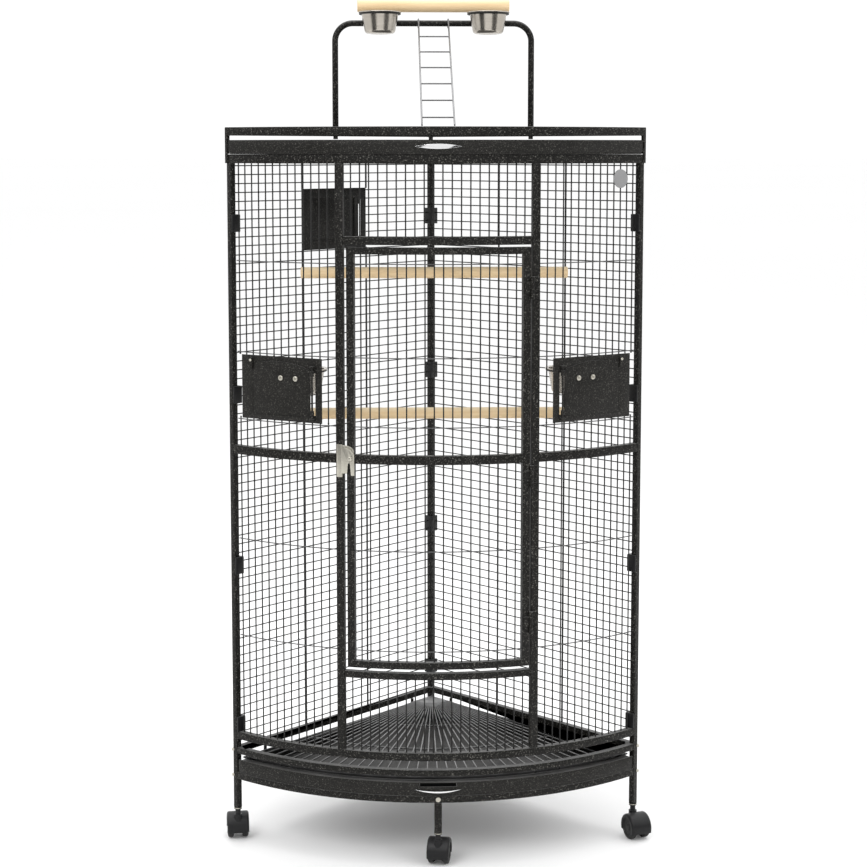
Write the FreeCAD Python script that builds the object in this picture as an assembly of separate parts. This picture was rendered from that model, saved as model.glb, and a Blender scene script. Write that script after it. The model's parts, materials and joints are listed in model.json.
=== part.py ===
"""Corner bird cage on casters: three square posts, two flat wire backs, a curved wire front
with a door, feeder hatches, pull-out trays and a play top.

Frame: millimetres, +Z up, floor at Z = 0, front towards -Y, X = 0 is the mirror plane.
Shapes are drawn with Y = 0 on the line between the two side posts; save() then moves them by
ORIGIN_SHIFT so that the origin lies under the middle of the bounding box.
"""
import FreeCAD
import Part
import math
import os

Vec = FreeCAD.Vector
UP = Vec(0, 0, 1)

# ---- plan ----
HALF_CHORD = 419.0          # side post centre to mirror plane; the rear post is as far back
FRONT_SAGITTA = 154.6       # bulge of the curved front beyond the side post line
POST = 12.7                 # square tube of the three posts
TUBE = 12.7                 # depth of every curved rail
FRONT_LEG = 15.0
ROOF_OFFSET = 4.6           # the play-top ring stands this far outside the cage ring

# ---- heights above the floor ----
LEG_FOOT = 70.0
LOWER_RING = (134.0, 148.0)
TRAY_FLOOR = 148.4
TRAY_FRONT_TOP = 176.4
TRAY_WALL_TOP = 171.0
RUNNER = (174.4, 176.6)
GRATE_BASE = 177.2
UPPER_RING = (189.2, 202.0)
BOTTOM_RAIL = (221.0, 237.0)
DOOR_SILL = (388.5, 403.0)
DOOR_SPAN = (410.5, 1261.5)
MID_RAIL = (828.0, 846.0)
DOOR_HEADER = (1266.0, 1283.0)
TOP_RING = (1426.0, 1444.0)
ROOF_TRAY_FLOOR = 1444.4
ROOF_TRAY_FRONT = (1449.0, 1473.0)
ROOF_RING = (1482.0, 1499.0)
ARCH_BAR_HEIGHT = 1723.5
CLIP_TOPS = (268.3, 609.2, 968.1, 1321.8)
CLIP_HEIGHT = 36.0

# ---- wires ----
WIRE = 2.8                  # upright front wires
CROSS_WIRE = 2.2            # long thin cross wires
BACK_WIRE = 2.4             # level wires of the back panels
BRACE_WIRE = 4.0            # upright wires that tie a back panel together
BACK_PITCH = 18.3
FRONT_PITCH = 17.6
DOOR_PITCH = 18.4
CROSS_HEIGHTS = (446.0, 651.0, 902.0, 1041.0, 1228.0)
CROSS_LENGTHS = 4           # a long cross wire is welded up from this many lengths
HAIR = 0.03                 # gap left at a butt weld

# ---- front layout, angles about the centre of the front curve ----
DOOR_POST_ANGLE = math.radians(17.6)
DOOR_POST_WIDTH = 16.0
LATCH_GAP = 7.0
HINGE_GAP = 4.0
DOOR_STILE = 15.0
DOOR_RAIL = 14.0

# ---- main door hardware ----
HINGE_HEIGHTS = (500.0, 800.0, 1180.0)
HINGE_OUT = 10.6            # hinge axis beyond the middle of the curved rails
KNUCKLE_R = 4.0
PIN_R = 2.0
RUN_FIT = 0.05              # radial clearance of every turning pin
LATCH_HEIGHT = 838.0
LATCH_PIN_R = 3.0

# ---- feeder hatches, local frame: x along the plate, -y outwards, z up ----
FEEDER_HEIGHT = 971.5
REAR_FEEDER_HEIGHT = 1305.0
FEEDER_ANGLE = math.radians(29.1)
REAR_FEEDER_ALONG = 0.4915  # share of the way from side post to rear post
PLATE_W = 190.0
PLATE_H = 131.0
PLATE_T = 1.6
PLATE_BACK = -1.8           # back face of the plate in the local frame
HATCH_X = (-62.0, 60.0)
HATCH_Z = (-46.0, 45.0)
SLOT_X = (68.0, 80.0)
SLOT_Z = (-50.0, 40.0)
ROD_X = 75.0
FLAP_T = 1.5
SCREW_X = (0.0, 35.0)
SCREW_Z = 22.5
RING_WIRE_R = 2.0
FEEDER_RING_R = 47.0
FEEDER_RING_Y = 52.0
FEEDER_RING_Z = 33.0
RING_X = 17.5

# ---- cups: rim radius, wall top radius, base radius, height ----
FEEDER_CUP = (50.0, 44.0, 37.0, 52.0)
PLAY_CUP = (45.5, 39.5, 33.0, 46.0)
CUP_WALL = 1.0
PLAY_RING_R = 42.5
PLAY_RING_X = 114.5
PLAY_RING_SETBACK = 62.0
PLAY_RING_HEIGHT = 1739.0

# ---- play top ----
ARCH_HALF_SPAN = 211.0
ARCH_R = 6.5
ARCH_BEND = 38.0
PLAY_PERCH_LENGTH = 326.0
PLAY_PERCH_R = 13.8
LADDER_WIDTH = 64.0
LADDER_WIRE_R = 1.75
LADDER_RUNGS = 6
LADDER_FIRST = 0.172        # first rung and rung step, as shares of the rail length
LADDER_STEP = 0.152

# ---- perches inside ----
PERCH_R = 12.0
UPPER_PERCH = (121.0, 1193.5)
LOWER_PERCH = (100.0, 895.0)

# ---- handles ----
HANDLE_WIDTH = 96.0
HANDLE_HEIGHT = 10.0
HANDLE_REACH = 9.0

# ---- casters ----
WHEEL_R = 25.0
WHEEL_W = 12.5
WHEEL_SPLIT = 18.0
HOOD_R = 28.5
TRAIL = 16.0
AXLE_R = 3.0
CASTER_TRAIL_DEG = {"left": 97.0, "right": -69.0, "front": 80.0, "rear": -90.0}

# ---- worked out ----
FRONT_R = (HALF_CHORD ** 2 + FRONT_SAGITTA ** 2) / (2 * FRONT_SAGITTA)
ARC_Y = FRONT_R - FRONT_SAGITTA
HALF_TUBE = TUBE / 2
ROOF_HALF = HALF_CHORD + 7.0
POST_DIAG = POST / math.sqrt(2)
FRONT_EDGE = FRONT_SAGITTA + ROOF_OFFSET + HALF_TUBE + HANDLE_REACH
REAR_EDGE = ROOF_HALF + POST_DIAG
ORIGIN_SHIFT = Vec(0, (FRONT_EDGE - REAR_EDGE) / 2, 0)
BACK_LENGTH = HALF_CHORD * math.sqrt(2)
ARCH_Y = ROOF_HALF - ARCH_HALF_SPAN
POSTS = {"left": Vec(-HALF_CHORD, 0, 0), "right": Vec(HALF_CHORD, 0, 0), "rear": Vec(0, HALF_CHORD, 0)}


# ---------------------------------------------------------------- basic shapes
def arc_point(radius, angle, z=0.0):
    """Point at a plan angle (from straight ahead, positive to the right) on a circle about the arc axis."""
    return Vec(radius * math.sin(angle), ARC_Y - radius * math.cos(angle), z)


def angle_at_x(radius, x):
    return math.asin(x / radius)


def arc_bar(r_in, r_out, a0, a1, z0, z1):
    """Curved bar of rectangular section between two plan angles."""
    mid = (a0 + a1) / 2
    outer = Part.Arc(arc_point(r_out, a0, z0), arc_point(r_out, mid, z0), arc_point(r_out, a1, z0)).toShape()
    inner = Part.Arc(arc_point(r_in, a1, z0), arc_point(r_in, mid, z0), arc_point(r_in, a0, z0)).toShape()
    end_1 = Part.makeLine(arc_point(r_out, a1, z0), arc_point(r_in, a1, z0))
    end_0 = Part.makeLine(arc_point(r_in, a0, z0), arc_point(r_out, a0, z0))
    return Part.Face(Part.Wire([outer, end_1, inner, end_0])).extrude(UP * (z1 - z0))


def rail_arc(offset, depth, a0, a1, span):
    """Curved rail whose middle is offset from the wire line of the front."""
    middle = FRONT_R + offset
    return arc_bar(middle - depth / 2, middle + depth / 2, a0, a1, *span)


def box(x, y, z):
    """Block from three (low, high) pairs."""
    return Part.makeBox(x[1] - x[0], y[1] - y[0], z[1] - z[0], Vec(x[0], y[0], z[0]))


def rod(start, end, radius):
    return Part.makeCylinder(radius, (end - start).Length, start, end - start)


def tube_between(start, end, radius, bore):
    return rod(start, end, radius).cut(rod(start, end, bore))


def prism(points, z0, z1):
    corners = [Vec(x, y, z0) for x, y in points]
    return Part.Face(Part.makePolygon(corners + corners[:1])).extrude(UP * (z1 - z0))


def square_post(centre, size, z0, z1, turn_deg=45.0):
    block = box((-size / 2, size / 2), (-size / 2, size / 2), (z0, z1))
    block.rotate(Vec(), UP, turn_deg)
    block.translate(centre)
    return block


def arc_wire(radius, height, a0, a1, wire_r):
    """Round wire bent along the front curve."""
    start = arc_point(radius, a0, height)
    along = Vec(math.cos(a0), math.sin(a0), 0)
    disc = Part.Face(Part.Wire(Part.makeCircle(wire_r, start, along)))
    return disc.revolve(Vec(0, ARC_Y, 0), UP, math.degrees(a1 - a0))


def fuse(shapes):
    return shapes[0].multiFuse(shapes[1:]).removeSplitter()


def group(shapes):
    return Part.makeCompound(shapes)


def back_bar(half, side, width, z0, z1, inset=0.0):
    """Straight bar along a back panel, from a side post to the rear post; side is -1 left, +1 right."""
    reach = (half - inset) * math.sqrt(2)
    bar = box((0, reach), (-width / 2, width / 2), (z0, z1))
    bar.rotate(Vec(), UP, 45.0 if side < 0 else 135.0)
    bar.translate(Vec(side * (half - inset), 0, 0))
    return bar


def back_point(side, along, z=0.0, out=0.0):
    """Point on a back panel, along = 0 at the side post and 1 at the rear post."""
    off = out / math.sqrt(2)
    return Vec(side * (HALF_CHORD * (1 - along) + off), HALF_CHORD * along + off, z)


def sector(front_r, back_inset, half_width, z0, z1):
    """Corner-shaped slab: curved front, two 45 degree backs, trimmed to a half width."""
    apex = HALF_CHORD - back_inset * math.sqrt(2)
    plan = [(-half_width, -FRONT_R), (half_width, -FRONT_R), (half_width, apex - half_width), (0, apex),
            (-half_width, apex - half_width)]
    return prism(plan, z0, z1).common(Part.makeCylinder(front_r, z1 - z0, Vec(0, ARC_Y, z0)))


def post_cutter(z0, z1):
    return [square_post(p, POST, z0 - 1, z1 + 1) for p in POSTS.values()]


def ring(offset, half, depth, span):
    """Curved front rail and two straight back rails as one welded ring."""
    end = angle_at_x(FRONT_R + offset, half)
    parts = [rail_arc(offset, depth, -end, end, span)]
    parts += [back_bar(half, side, depth, *span) for side in (-1, 1)]
    return fuse(parts)


# ---------------------------------------------------------------- frame
def posts():
    save("corner_posts", group([square_post(p, POST, LEG_FOOT, TOP_RING[1]) for p in POSTS.values()]))
    front = arc_point(FRONT_R, 0)
    save("front_leg", square_post(front, FRONT_LEG, LEG_FOOT, LOWER_RING[0], 0.0))


def rings():
    cutters = post_cutter(LOWER_RING[0], TOP_RING[1])
    spans = {"base_lower_ring": LOWER_RING, "base_upper_ring": UPPER_RING, "cage_top_ring": TOP_RING}
    for name, span in spans.items():
        save(name, fuse([ring(0.0, HALF_CHORD, TUBE, span)] + corner_webs(*span)).cut(cutters))
    roof = ring(ROOF_OFFSET, ROOF_HALF, TUBE, ROOF_RING)
    corners = [Vec(-ROOF_HALF, 0, 0), Vec(ROOF_HALF, 0, 0), Vec(0, ROOF_HALF, 0)]
    stubs = [square_post(c, POST * 0.6, TOP_RING[0], ROOF_RING[1]) for c in corners]
    clamps = [rod(p, c, 3.0) for p, c in roof_clamp_lines(corners)]
    save("roof_ring", fuse([roof] + stubs + clamps).cut(post_cutter(TOP_RING[0], TOP_RING[1])))


def corner_webs(z0, z1):
    """Small blocks that fill the inside of each ring corner and join its rails past the post."""
    apex = HALF_CHORD - POST_DIAG
    webs = [prism([(0, apex + 1), (7, apex - 7), (-7, apex - 7)], z0, z1)]
    for sign in (-1, 1):
        near, far = sign * (apex + 1), sign * (HALF_CHORD - 17)
        webs.append(prism([(near, 0), (far, 7), (far, -7)], z0, z1))
    return webs


def roof_clamp_lines(corners):
    """Short studs that tie each roof stub to the post beside it."""
    level = UP * ((TOP_RING[0] + TOP_RING[1]) / 2)
    return [(p + level, c + level) for p, c in zip(POSTS.values(), corners)]


def front_rails():
    cutters = post_cutter(*BOTTOM_RAIL) + post_cutter(*MID_RAIL)
    end = angle_at_x(FRONT_R, HALF_CHORD)
    save("front_bottom_rail", rail_arc(0, TUBE, -end, end, BOTTOM_RAIL).cut(cutters))
    inner = DOOR_POST_ANGLE + DOOR_POST_WIDTH / 2 / FRONT_R
    rails = [rail_arc(0, TUBE, a, b, MID_RAIL).cut(cutters) for a, b in ((-end, -inner), (inner, end))]
    save("front_mid_rails", group(rails))
    door_posts = []
    for sign in (-1, 1):
        half = DOOR_POST_WIDTH / 2 / FRONT_R
        centre = sign * DOOR_POST_ANGLE
        door_posts.append(rail_arc(0, TUBE, centre - half, centre + half, (BOTTOM_RAIL[1], TOP_RING[0])))
    save("door_posts", group(door_posts))
    opening = door_opening_angle()
    cross_rails = [rail_arc(0, TUBE, -opening, opening, span) for span in (DOOR_SILL, DOOR_HEADER)]
    save("door_sill_and_header", group(cross_rails))


def door_opening_angle():
    return DOOR_POST_ANGLE - DOOR_POST_WIDTH / 2 / FRONT_R


def panel_connectors():
    """Plastic clips that lock the panels to the posts: four per post, standing inside it."""
    clips = []
    for top in CLIP_TOPS:
        for name, centre in POSTS.items():
            inward = Vec(0, -1, 0) if name == "rear" else Vec(-math.copysign(1, centre.x), 0, 0)
            foot = max(top - CLIP_HEIGHT, BOTTOM_RAIL[1])
            sleeve = square_post(centre + inward * 3.0, POST + 9.0, foot, top)
            sleeve = sleeve.cut(square_post(centre, POST, foot - 4.0, top + 4.0))
            clips.append(sleeve.common(square_post(centre + inward * 21.0, 40.0, foot, top, 0.0)))
    save("panel_connectors", group(clips))


def frame_bolts():
    heights = [sum(span) / 2 for span in (LOWER_RING, UPPER_RING, TOP_RING)]
    bolts = []
    for name, centre in POSTS.items():
        outward = Vec(0, 1, 0) if name == "rear" else Vec(math.copysign(1, centre.x), 0, 0)
        for height in heights[:2]:
            start = centre + outward * POST_DIAG * 0.72 + UP * height
            bolts.append(rod(start, start + outward * 5.0, 3.2).cut(square_post(centre, POST, 100, 210)))
    head = arc_point(FRONT_R + HALF_TUBE, 0, heights[0])
    bolts.append(rod(head, head + Vec(0, -2.2, 0), 5.0))
    for sign in (-1, 1):
        nub = Vec(sign * ARCH_HALF_SPAN, ARCH_Y, ROOF_RING[0])
        bolts.append(rod(nub, nub - UP * 6.0, 5.0))
    save("frame_bolts", group(bolts))


# ---------------------------------------------------------------- wire work
def level_back_wires(side, z0, z1, along0=0.0, along1=1.0):
    """Level wires of one back panel between two heights."""
    clear = (POST / 2 + 0.5) / BACK_LENGTH
    low = max(along0, clear)
    high = min(along1, 1 - clear)
    first = UPPER_RING[1] + BACK_PITCH * 0.6
    count = int((TOP_RING[0] - 4 - first) / BACK_PITCH) + 1
    heights = [first + i * BACK_PITCH for i in range(count)]
    return [rod(back_point(side, low, z), back_point(side, high, z), BACK_WIRE / 2)
            for z in heights if z0 + 1.5 < z < z1 - 1.5]


def brace(side, along, z0, z1):
    """Upright wire welded to the outside of the level wires."""
    out = (BACK_WIRE + BRACE_WIRE) / 2
    return rod(back_point(side, along, z0, out), back_point(side, along, z1, out), BRACE_WIRE / 2)


def back_wires():
    low, high = UPPER_RING[1], TOP_RING[0]
    thirds = (0.335, 0.655)
    right = level_back_wires(1, low, high) + [brace(1, t, low, high) for t in thirds]
    save("back_wires_right", group(right))
    plate_low = REAR_FEEDER_HEIGHT - PLATE_H / 2
    plate_high = REAR_FEEDER_HEIGHT + PLATE_H / 2
    for part, z0, z1 in (("lower", low, plate_low), ("upper", plate_high, high)):
        wires = level_back_wires(-1, z0, z1) + [brace(-1, t, z0, z1) for t in thirds]
        save("back_wires_left_%s" % part, group(wires))
    half = PLATE_W / 2 / BACK_LENGTH
    sides = level_back_wires(-1, plate_low, plate_high, 0.0, REAR_FEEDER_ALONG - half)
    sides += level_back_wires(-1, plate_low, plate_high, REAR_FEEDER_ALONG + half, 1.0)
    save("back_wires_left_sides", group(sides))


def upright_wires(angles, spans):
    return [rod(arc_point(FRONT_R, a, z0), arc_point(FRONT_R, a, z1), WIRE / 2)
            for a in angles for z0, z1 in spans]


def cross_wires(a0, a1, z0, z1):
    """Thin cross wires welded to the face of the uprights, in lengths that butt together."""
    radius = FRONT_R + (WIRE + CROSS_WIRE) / 2
    step = (a1 - a0) / CROSS_LENGTHS
    gap = HAIR / radius
    starts = [a0 + i * step for i in range(CROSS_LENGTHS)]
    return [arc_wire(radius, z, a, a + step - gap, CROSS_WIRE / 2)
            for z in CROSS_HEIGHTS if z0 < z < z1 for a in starts]


def centred_angles(pitch, half_angle):
    """Evenly pitched angles, symmetric about straight ahead."""
    step = pitch / FRONT_R
    count = int(2 * half_angle / step)
    return [(i - (count - 1) / 2) * step for i in range(count)]


def front_wires():
    low, mid_low, mid_high, high = BOTTOM_RAIL[1], MID_RAIL[0], MID_RAIL[1], TOP_RING[0]
    plate_low, plate_high = FEEDER_HEIGHT - PLATE_H / 2, FEEDER_HEIGHT + PLATE_H / 2
    inner = DOOR_POST_ANGLE + DOOR_POST_WIDTH / 2 / FRONT_R
    outer = angle_at_x(FRONT_R, HALF_CHORD - POST_DIAG - 4)
    step = FRONT_PITCH / FRONT_R
    angles = [inner + step * (1.0 + i) for i in range(int((outer - inner) / step))]
    plate_inner = FEEDER_ANGLE - math.atan(PLATE_W / 2 / FRONT_R)
    beside = [a for a in angles if a < plate_inner]
    side_wires = []
    for sign, name in ((-1, "left"), (1, "right")):
        ends = sorted((sign * inner, sign * outer))
        signed = [sign * a for a in angles]
        upper = upright_wires(signed, [(plate_high, high)]) + cross_wires(*ends, plate_high, high)
        lower = upright_wires(signed, [(low, mid_low), (mid_high, plate_low)])
        lower += cross_wires(*ends, low, plate_low)
        save("front_wires_%s_upper" % name, group(upper))
        save("front_wires_%s_lower" % name, group(lower))
        side_wires += upright_wires([sign * a for a in beside], [(plate_low, plate_high)])
    save("front_wires_feeder_sides", group(side_wires))
    opening = door_opening_angle()
    short = centred_angles(DOOR_PITCH, opening)
    over = upright_wires(short, [(DOOR_HEADER[1], high)])
    under = upright_wires(short, [(low, DOOR_SILL[0])])
    save("front_wires_over_door", group(over))
    save("front_wires_under_door", group(under))


def roof_grille():
    """Level wires across the top ring, under the roof tray."""
    radius = FRONT_R - HALF_TUBE
    height = TOP_RING[0] + 6.0
    wires = []
    for i in range(-20, 21):
        x = i * 20.0
        front = ARC_Y - math.sqrt(radius ** 2 - x ** 2)
        back = HALF_CHORD - abs(x) - HALF_TUBE * math.sqrt(2)
        if back - front > 20.0:
            wires.append(rod(Vec(x, front, height), Vec(x, back, height), BACK_WIRE / 2))
    save("roof_grille", group(wires))


def grate_runners():
    runners = []
    for side in (-1, 1):
        ledge = back_bar(HALF_CHORD, side, 20.0, *RUNNER, inset=18.0)
        ledge = ledge.cut(post_cutter(*RUNNER))
        hangers = []
        for along in (0.12, 0.5, 0.88):
            spot = back_point(side, along, 0, -7.5)
            hangers.append(square_post(spot, 5.0, RUNNER[1], UPPER_RING[0]))
        runners.append(fuse([ledge.common(sector(FRONT_R - 8, 0.0, 412.0, 170, 180))] + hangers))
    save("grate_runners", group([trim_to_side(r, s) for r, s in zip(runners, (-1, 1))]))


def trim_to_side(shape, side):
    """Keep the half of a shape that lies on one side of the mirror plane, with a small gap at it."""
    half = box((0.3, 600), (-600, 600), (0, 2000))
    if side < 0:
        half = half.mirror(Vec(), Vec(1, 0, 0))
    return shape.common(half)


# ---------------------------------------------------------------- main door
def door_angles():
    """Outer edges of the moving door, left and right."""
    opening = door_opening_angle()
    return -opening + LATCH_GAP / FRONT_R, opening - HINGE_GAP / FRONT_R


def hinge_line():
    return arc_point(FRONT_R + HINGE_OUT, door_opening_angle() - HINGE_GAP / 2 / FRONT_R)


def door_frame():
    left, right = door_angles()
    stile = DOOR_STILE / FRONT_R
    low, high = DOOR_SPAN
    stiles = ((left, left + stile), (right - stile, right))
    parts = [rail_arc(0, TUBE, a, b, DOOR_SPAN) for a, b in stiles]
    for span in ((low, low + DOOR_RAIL), MID_RAIL, (high - DOOR_RAIL, high)):
        parts.append(rail_arc(0, TUBE, left + stile, right - stile, span))
    axis = hinge_line()
    bore = PIN_R + RUN_FIT
    for height in HINGE_HEIGHTS:
        low_end, high_end = height - 12, height + 12
        parts.append(tube_between(axis + UP * low_end, axis + UP * high_end, KNUCKLE_R, bore))
        leaf = rail_arc(HALF_TUBE + 1.0, 2.0, right - 0.02, right, (low_end, high_end))
        leaf = leaf.fuse(leaf_bridge(axis, -1, low_end, high_end))
        parts.append(leaf.cut(rod(axis + UP * (low_end - 1), axis + UP * (high_end + 1), bore)))
    pin = latch_axis()
    out = Vec(math.sin(latch_angle()), -math.cos(latch_angle()), 0)
    parts.append(rod(pin - out * 2.0, pin + out * 5.6, LATCH_PIN_R))
    parts.append(rod(pin + out * 4.8, pin + out * 6.2, LATCH_PIN_R + 2.0))
    save("door_frame", fuse(parts))
    angles = centred_angles(DOOR_PITCH, (right - left) / 2 - stile)
    shift = (left + right) / 2
    spans = [(low + DOOR_RAIL, MID_RAIL[0]), (MID_RAIL[1], high - DOOR_RAIL)]
    wires = upright_wires([a + shift for a in angles], spans)
    wires += cross_wires(left + stile, right - stile, low + DOOR_RAIL, high - DOOR_RAIL)
    save("door_wires", group(wires))


def leaf_bridge(axis, side, z0, z1):
    """Flat web from a hinge knuckle back to the leaf on the rail face, on one side of the axis."""
    turn = math.atan2(axis.x, ARC_Y - axis.y)
    web = box((min(0, side * 6.0), max(0, side * 6.0)), (1.9, 3.9), (z0, z1))
    web.rotate(Vec(), UP, math.degrees(turn))
    web.translate(axis)
    return web


def door_hardware():
    """Hinge pins with their fixed knuckles, and the latch keeper plate."""
    axis = hinge_line()
    post_edge = door_opening_angle()
    parts = []
    for height in HINGE_HEIGHTS:
        hinge = [rod(axis + UP * (height - 23), axis + UP * (height + 23), PIN_R)]
        for z0 in (height - 22.4, height + 12.4):
            hinge.append(rod(axis + UP * z0, axis + UP * (z0 + 10), KNUCKLE_R))
            hinge.append(leaf_bridge(axis, 1, z0, z0 + 10))
            hinge.append(rail_arc(HALF_TUBE + 1.0, 2.0, post_edge, post_edge + 0.02, (z0, z0 + 10)))
        parts.append(fuse(hinge))
    half = 6.0 / FRONT_R
    span = (LATCH_HEIGHT - 38, LATCH_HEIGHT + 28)
    parts.append(rail_arc(HALF_TUBE + 0.8, 1.6, -DOOR_POST_ANGLE - half, -DOOR_POST_ANGLE + half, span))
    save("door_hardware", group(parts))


def latch_angle():
    return door_angles()[0] + DOOR_STILE / 2 / FRONT_R


def latch_axis():
    return arc_point(FRONT_R + HALF_TUBE, latch_angle(), LATCH_HEIGHT)


def door_latch():
    """Turning latch: a tongue that covers the post and a slotted tail, on a pin in the door stile."""
    outline = [Vec(-18, 0, 21), Vec(-18, 0, -30), Vec(-6, 0, -30), Vec(-4, 0, -9), Vec(0, 0, -9),
               Vec(2, 0, -34), Vec(9, 0, -34), Vec(9, 0, 8)]
    edges = [Part.makeLine(a, b) for a, b in zip(outline, outline[1:])]
    edges.append(Part.Arc(Vec(9, 0, 8), Vec(1, 0, 18), Vec(-12, 0, 22)).toShape())
    edges.append(Part.makeLine(Vec(-12, 0, 22), outline[0]))
    plate = Part.Face(Part.Wire(edges)).extrude(Vec(0, -1.8, 0))
    plate = plate.cut(rod(Vec(0, 2, 0), Vec(0, -4, 0), LATCH_PIN_R + RUN_FIT))
    plate.rotate(Vec(), UP, math.degrees(latch_angle()))
    out = Vec(math.sin(latch_angle()), -math.cos(latch_angle()), 0)
    plate.translate(latch_axis() + out * 2.6)
    save("door_latch", plate)


# ---------------------------------------------------------------- feeders
def placed(shape, origin, turn, mirrored):
    """Put a shape drawn in the feeder frame onto the cage."""
    result = shape.mirror(Vec(), Vec(1, 0, 0)) if mirrored else shape.copy()
    result.rotate(Vec(), UP, math.degrees(turn))
    result.translate(origin)
    return result


def feeder_places():
    """Origin, turn and hand of the three hatches."""
    left = (arc_point(FRONT_R, -FEEDER_ANGLE, FEEDER_HEIGHT), -FEEDER_ANGLE, False)
    right = (arc_point(FRONT_R, FEEDER_ANGLE, FEEDER_HEIGHT), FEEDER_ANGLE, True)
    rear = (back_point(-1, REAR_FEEDER_ALONG, REAR_FEEDER_HEIGHT), math.radians(-135), True)
    return {"left": left, "right": right, "rear": rear}


def plate_front():
    return PLATE_BACK - PLATE_T


def rod_y():
    return plate_front() - KNUCKLE_R - 0.4


def feeder_plate():
    face = plate_front()
    plate = box((-PLATE_W / 2, PLATE_W / 2), (face, PLATE_BACK), (-PLATE_H / 2, PLATE_H / 2))
    plate = plate.cut([box(HATCH_X, (-20, 20), HATCH_Z), box(SLOT_X, (-20, 20), SLOT_Z)])
    y = rod_y()
    parts = [plate, rod(Vec(ROD_X, y, -58), Vec(ROD_X, y, 48), PIN_R)]
    for z0, z1 in ((-60, -56), (46, 50)):
        parts.append(box((ROD_X - 5, ROD_X + 5), (y - 4, face), (z0, z1)))
    parts.append(box((-74, -67), (face - 5.0, face), (38, 61)))
    return fuse(parts)


def feeder_flap():
    back = plate_front() - 0.5
    right, top = 68.0, 42.0
    edges = [Part.makeLine(Vec(right, back, top), Vec(right, back, -52)),
             Part.makeLine(Vec(right, back, -52), Vec(-65, back, -52)),
             Part.makeLine(Vec(-65, back, -52), Vec(-65, back, 49)),
             Part.Arc(Vec(-65, back, 49), Vec(-9, back, 56), Vec(right, back, top)).toShape()]
    parts = [Part.Face(Part.Wire(edges)).extrude(Vec(0, -FLAP_T, 0))]
    y = rod_y()
    bore = PIN_R + RUN_FIT
    for z0, z1 in ((-50, -40), (30, 40)):
        arm = box((right - 4, ROD_X), (back - FLAP_T, back), (z0, z1))
        hole = rod(Vec(ROD_X, y, z0 - 1), Vec(ROD_X, y, z1 + 1), bore)
        parts.append(arm.cut(hole))
        parts.append(tube_between(Vec(ROD_X, y, z0), Vec(ROD_X, y, z1), KNUCKLE_R, bore))
    return fuse(parts)


def cup_ring():
    """Wire ring behind a flap, its bracket, and the two screws through the flap."""
    torus = Part.makeTorus(FEEDER_RING_R, RING_WIRE_R, Vec(RING_X, FEEDER_RING_Y, FEEDER_RING_Z))
    near = FEEDER_RING_Y - FEEDER_RING_R
    flap_back = plate_front() - 0.5
    strap = box((RING_X - 26, RING_X + 26), (flap_back, flap_back + 2), (SCREW_Z - 8, FEEDER_RING_Z + 3))
    tongue_span = (FEEDER_RING_Z - 1.2, FEEDER_RING_Z + 1.2)
    tongue = box((RING_X - 8, RING_X + 8), (flap_back, near + 1.2), tongue_span)
    parts = [torus, strap, tongue]
    for x in SCREW_X:
        head = flap_back - FLAP_T
        parts.append(rod(Vec(x, head - 2.0, SCREW_Z), Vec(x, head, SCREW_Z), 5.0))
        parts.append(rod(Vec(x, head, SCREW_Z), Vec(x, flap_back + 1, SCREW_Z), 2.0))
    return fuse(parts)


def cup(rim_r, top_r, base_r, height):
    """Steel cup hanging by its rim, drawn with the underside of the rim at z = 0."""
    wall = CUP_WALL
    corner = 9.0
    outer = [Vec(0, 0, 2 - height), Vec(base_r - corner, 0, 2 - height)]
    edges = [Part.makeLine(outer[0], outer[1])]
    knee = Vec(base_r, 0, 2 - height + corner)
    bend = Vec(base_r - corner * 0.293, 0, 2 - height + corner * 0.293)
    edges.append(Part.Arc(outer[1], bend, knee).toShape())
    edges.append(Part.makeLine(knee, Vec(top_r, 0, 0)))
    edges.append(Part.makeLine(Vec(top_r, 0, 0), Vec(rim_r, 0, 0)))
    edges.append(Part.makeLine(Vec(rim_r, 0, 0), Vec(rim_r, 0, 2)))
    edges.append(Part.makeLine(Vec(rim_r, 0, 2), Vec(top_r - wall, 0, 2)))
    inner_knee = Vec(base_r - wall, 0, 2 - height + corner)
    inner_bend = bend + Vec(-wall * 0.7, 0, wall * 0.7)
    inner_foot = Vec(base_r - corner, 0, 2 - height + wall)
    edges.append(Part.makeLine(Vec(top_r - wall, 0, 2), inner_knee))
    edges.append(Part.Arc(inner_knee, inner_bend, inner_foot).toShape())
    edges.append(Part.makeLine(inner_foot, Vec(0, 0, 2 - height + wall)))
    edges.append(Part.makeLine(Vec(0, 0, 2 - height + wall), outer[0]))
    return Part.Face(Part.Wire(edges)).revolve(Vec(), UP, 360)


def feeders():
    for name, (origin, turn, mirrored) in feeder_places().items():
        save("feeder_plate_%s" % name, placed(feeder_plate(), origin, turn, mirrored))
        flap = feeder_flap()
        if name != "rear":
            holes = [rod(Vec(x, 0, SCREW_Z), Vec(x, -20, SCREW_Z), 2.0) for x in SCREW_X]
            flap = flap.cut(holes)
            seat = Vec(RING_X, FEEDER_RING_Y, FEEDER_RING_Z + RING_WIRE_R + 0.3)
            dish = cup(*FEEDER_CUP)
            dish.translate(seat)
            save("cup_ring_%s" % name, placed(cup_ring(), origin, turn, mirrored))
            save("feeder_cup_%s" % name, placed(dish, origin, turn, mirrored))
        save("feeder_flap_%s" % name, placed(flap, origin, turn, mirrored))


# ---------------------------------------------------------------- perches
def perches():
    bars = []
    for y, z in (UPPER_PERCH, LOWER_PERCH):
        reach = HALF_CHORD - y - (BACK_WIRE / 2 + 0.3) * math.sqrt(2) - PERCH_R
        bars.append(rod(Vec(-reach, y, z), Vec(reach, y, z), PERCH_R))
    save("inner_perches", group(bars))
    half = PLAY_PERCH_LENGTH / 2
    height = ARCH_BAR_HEIGHT + 37.3
    save("play_perch", rod(Vec(-half, ARCH_Y, height), Vec(half, ARCH_Y, height), PLAY_PERCH_R))


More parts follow.
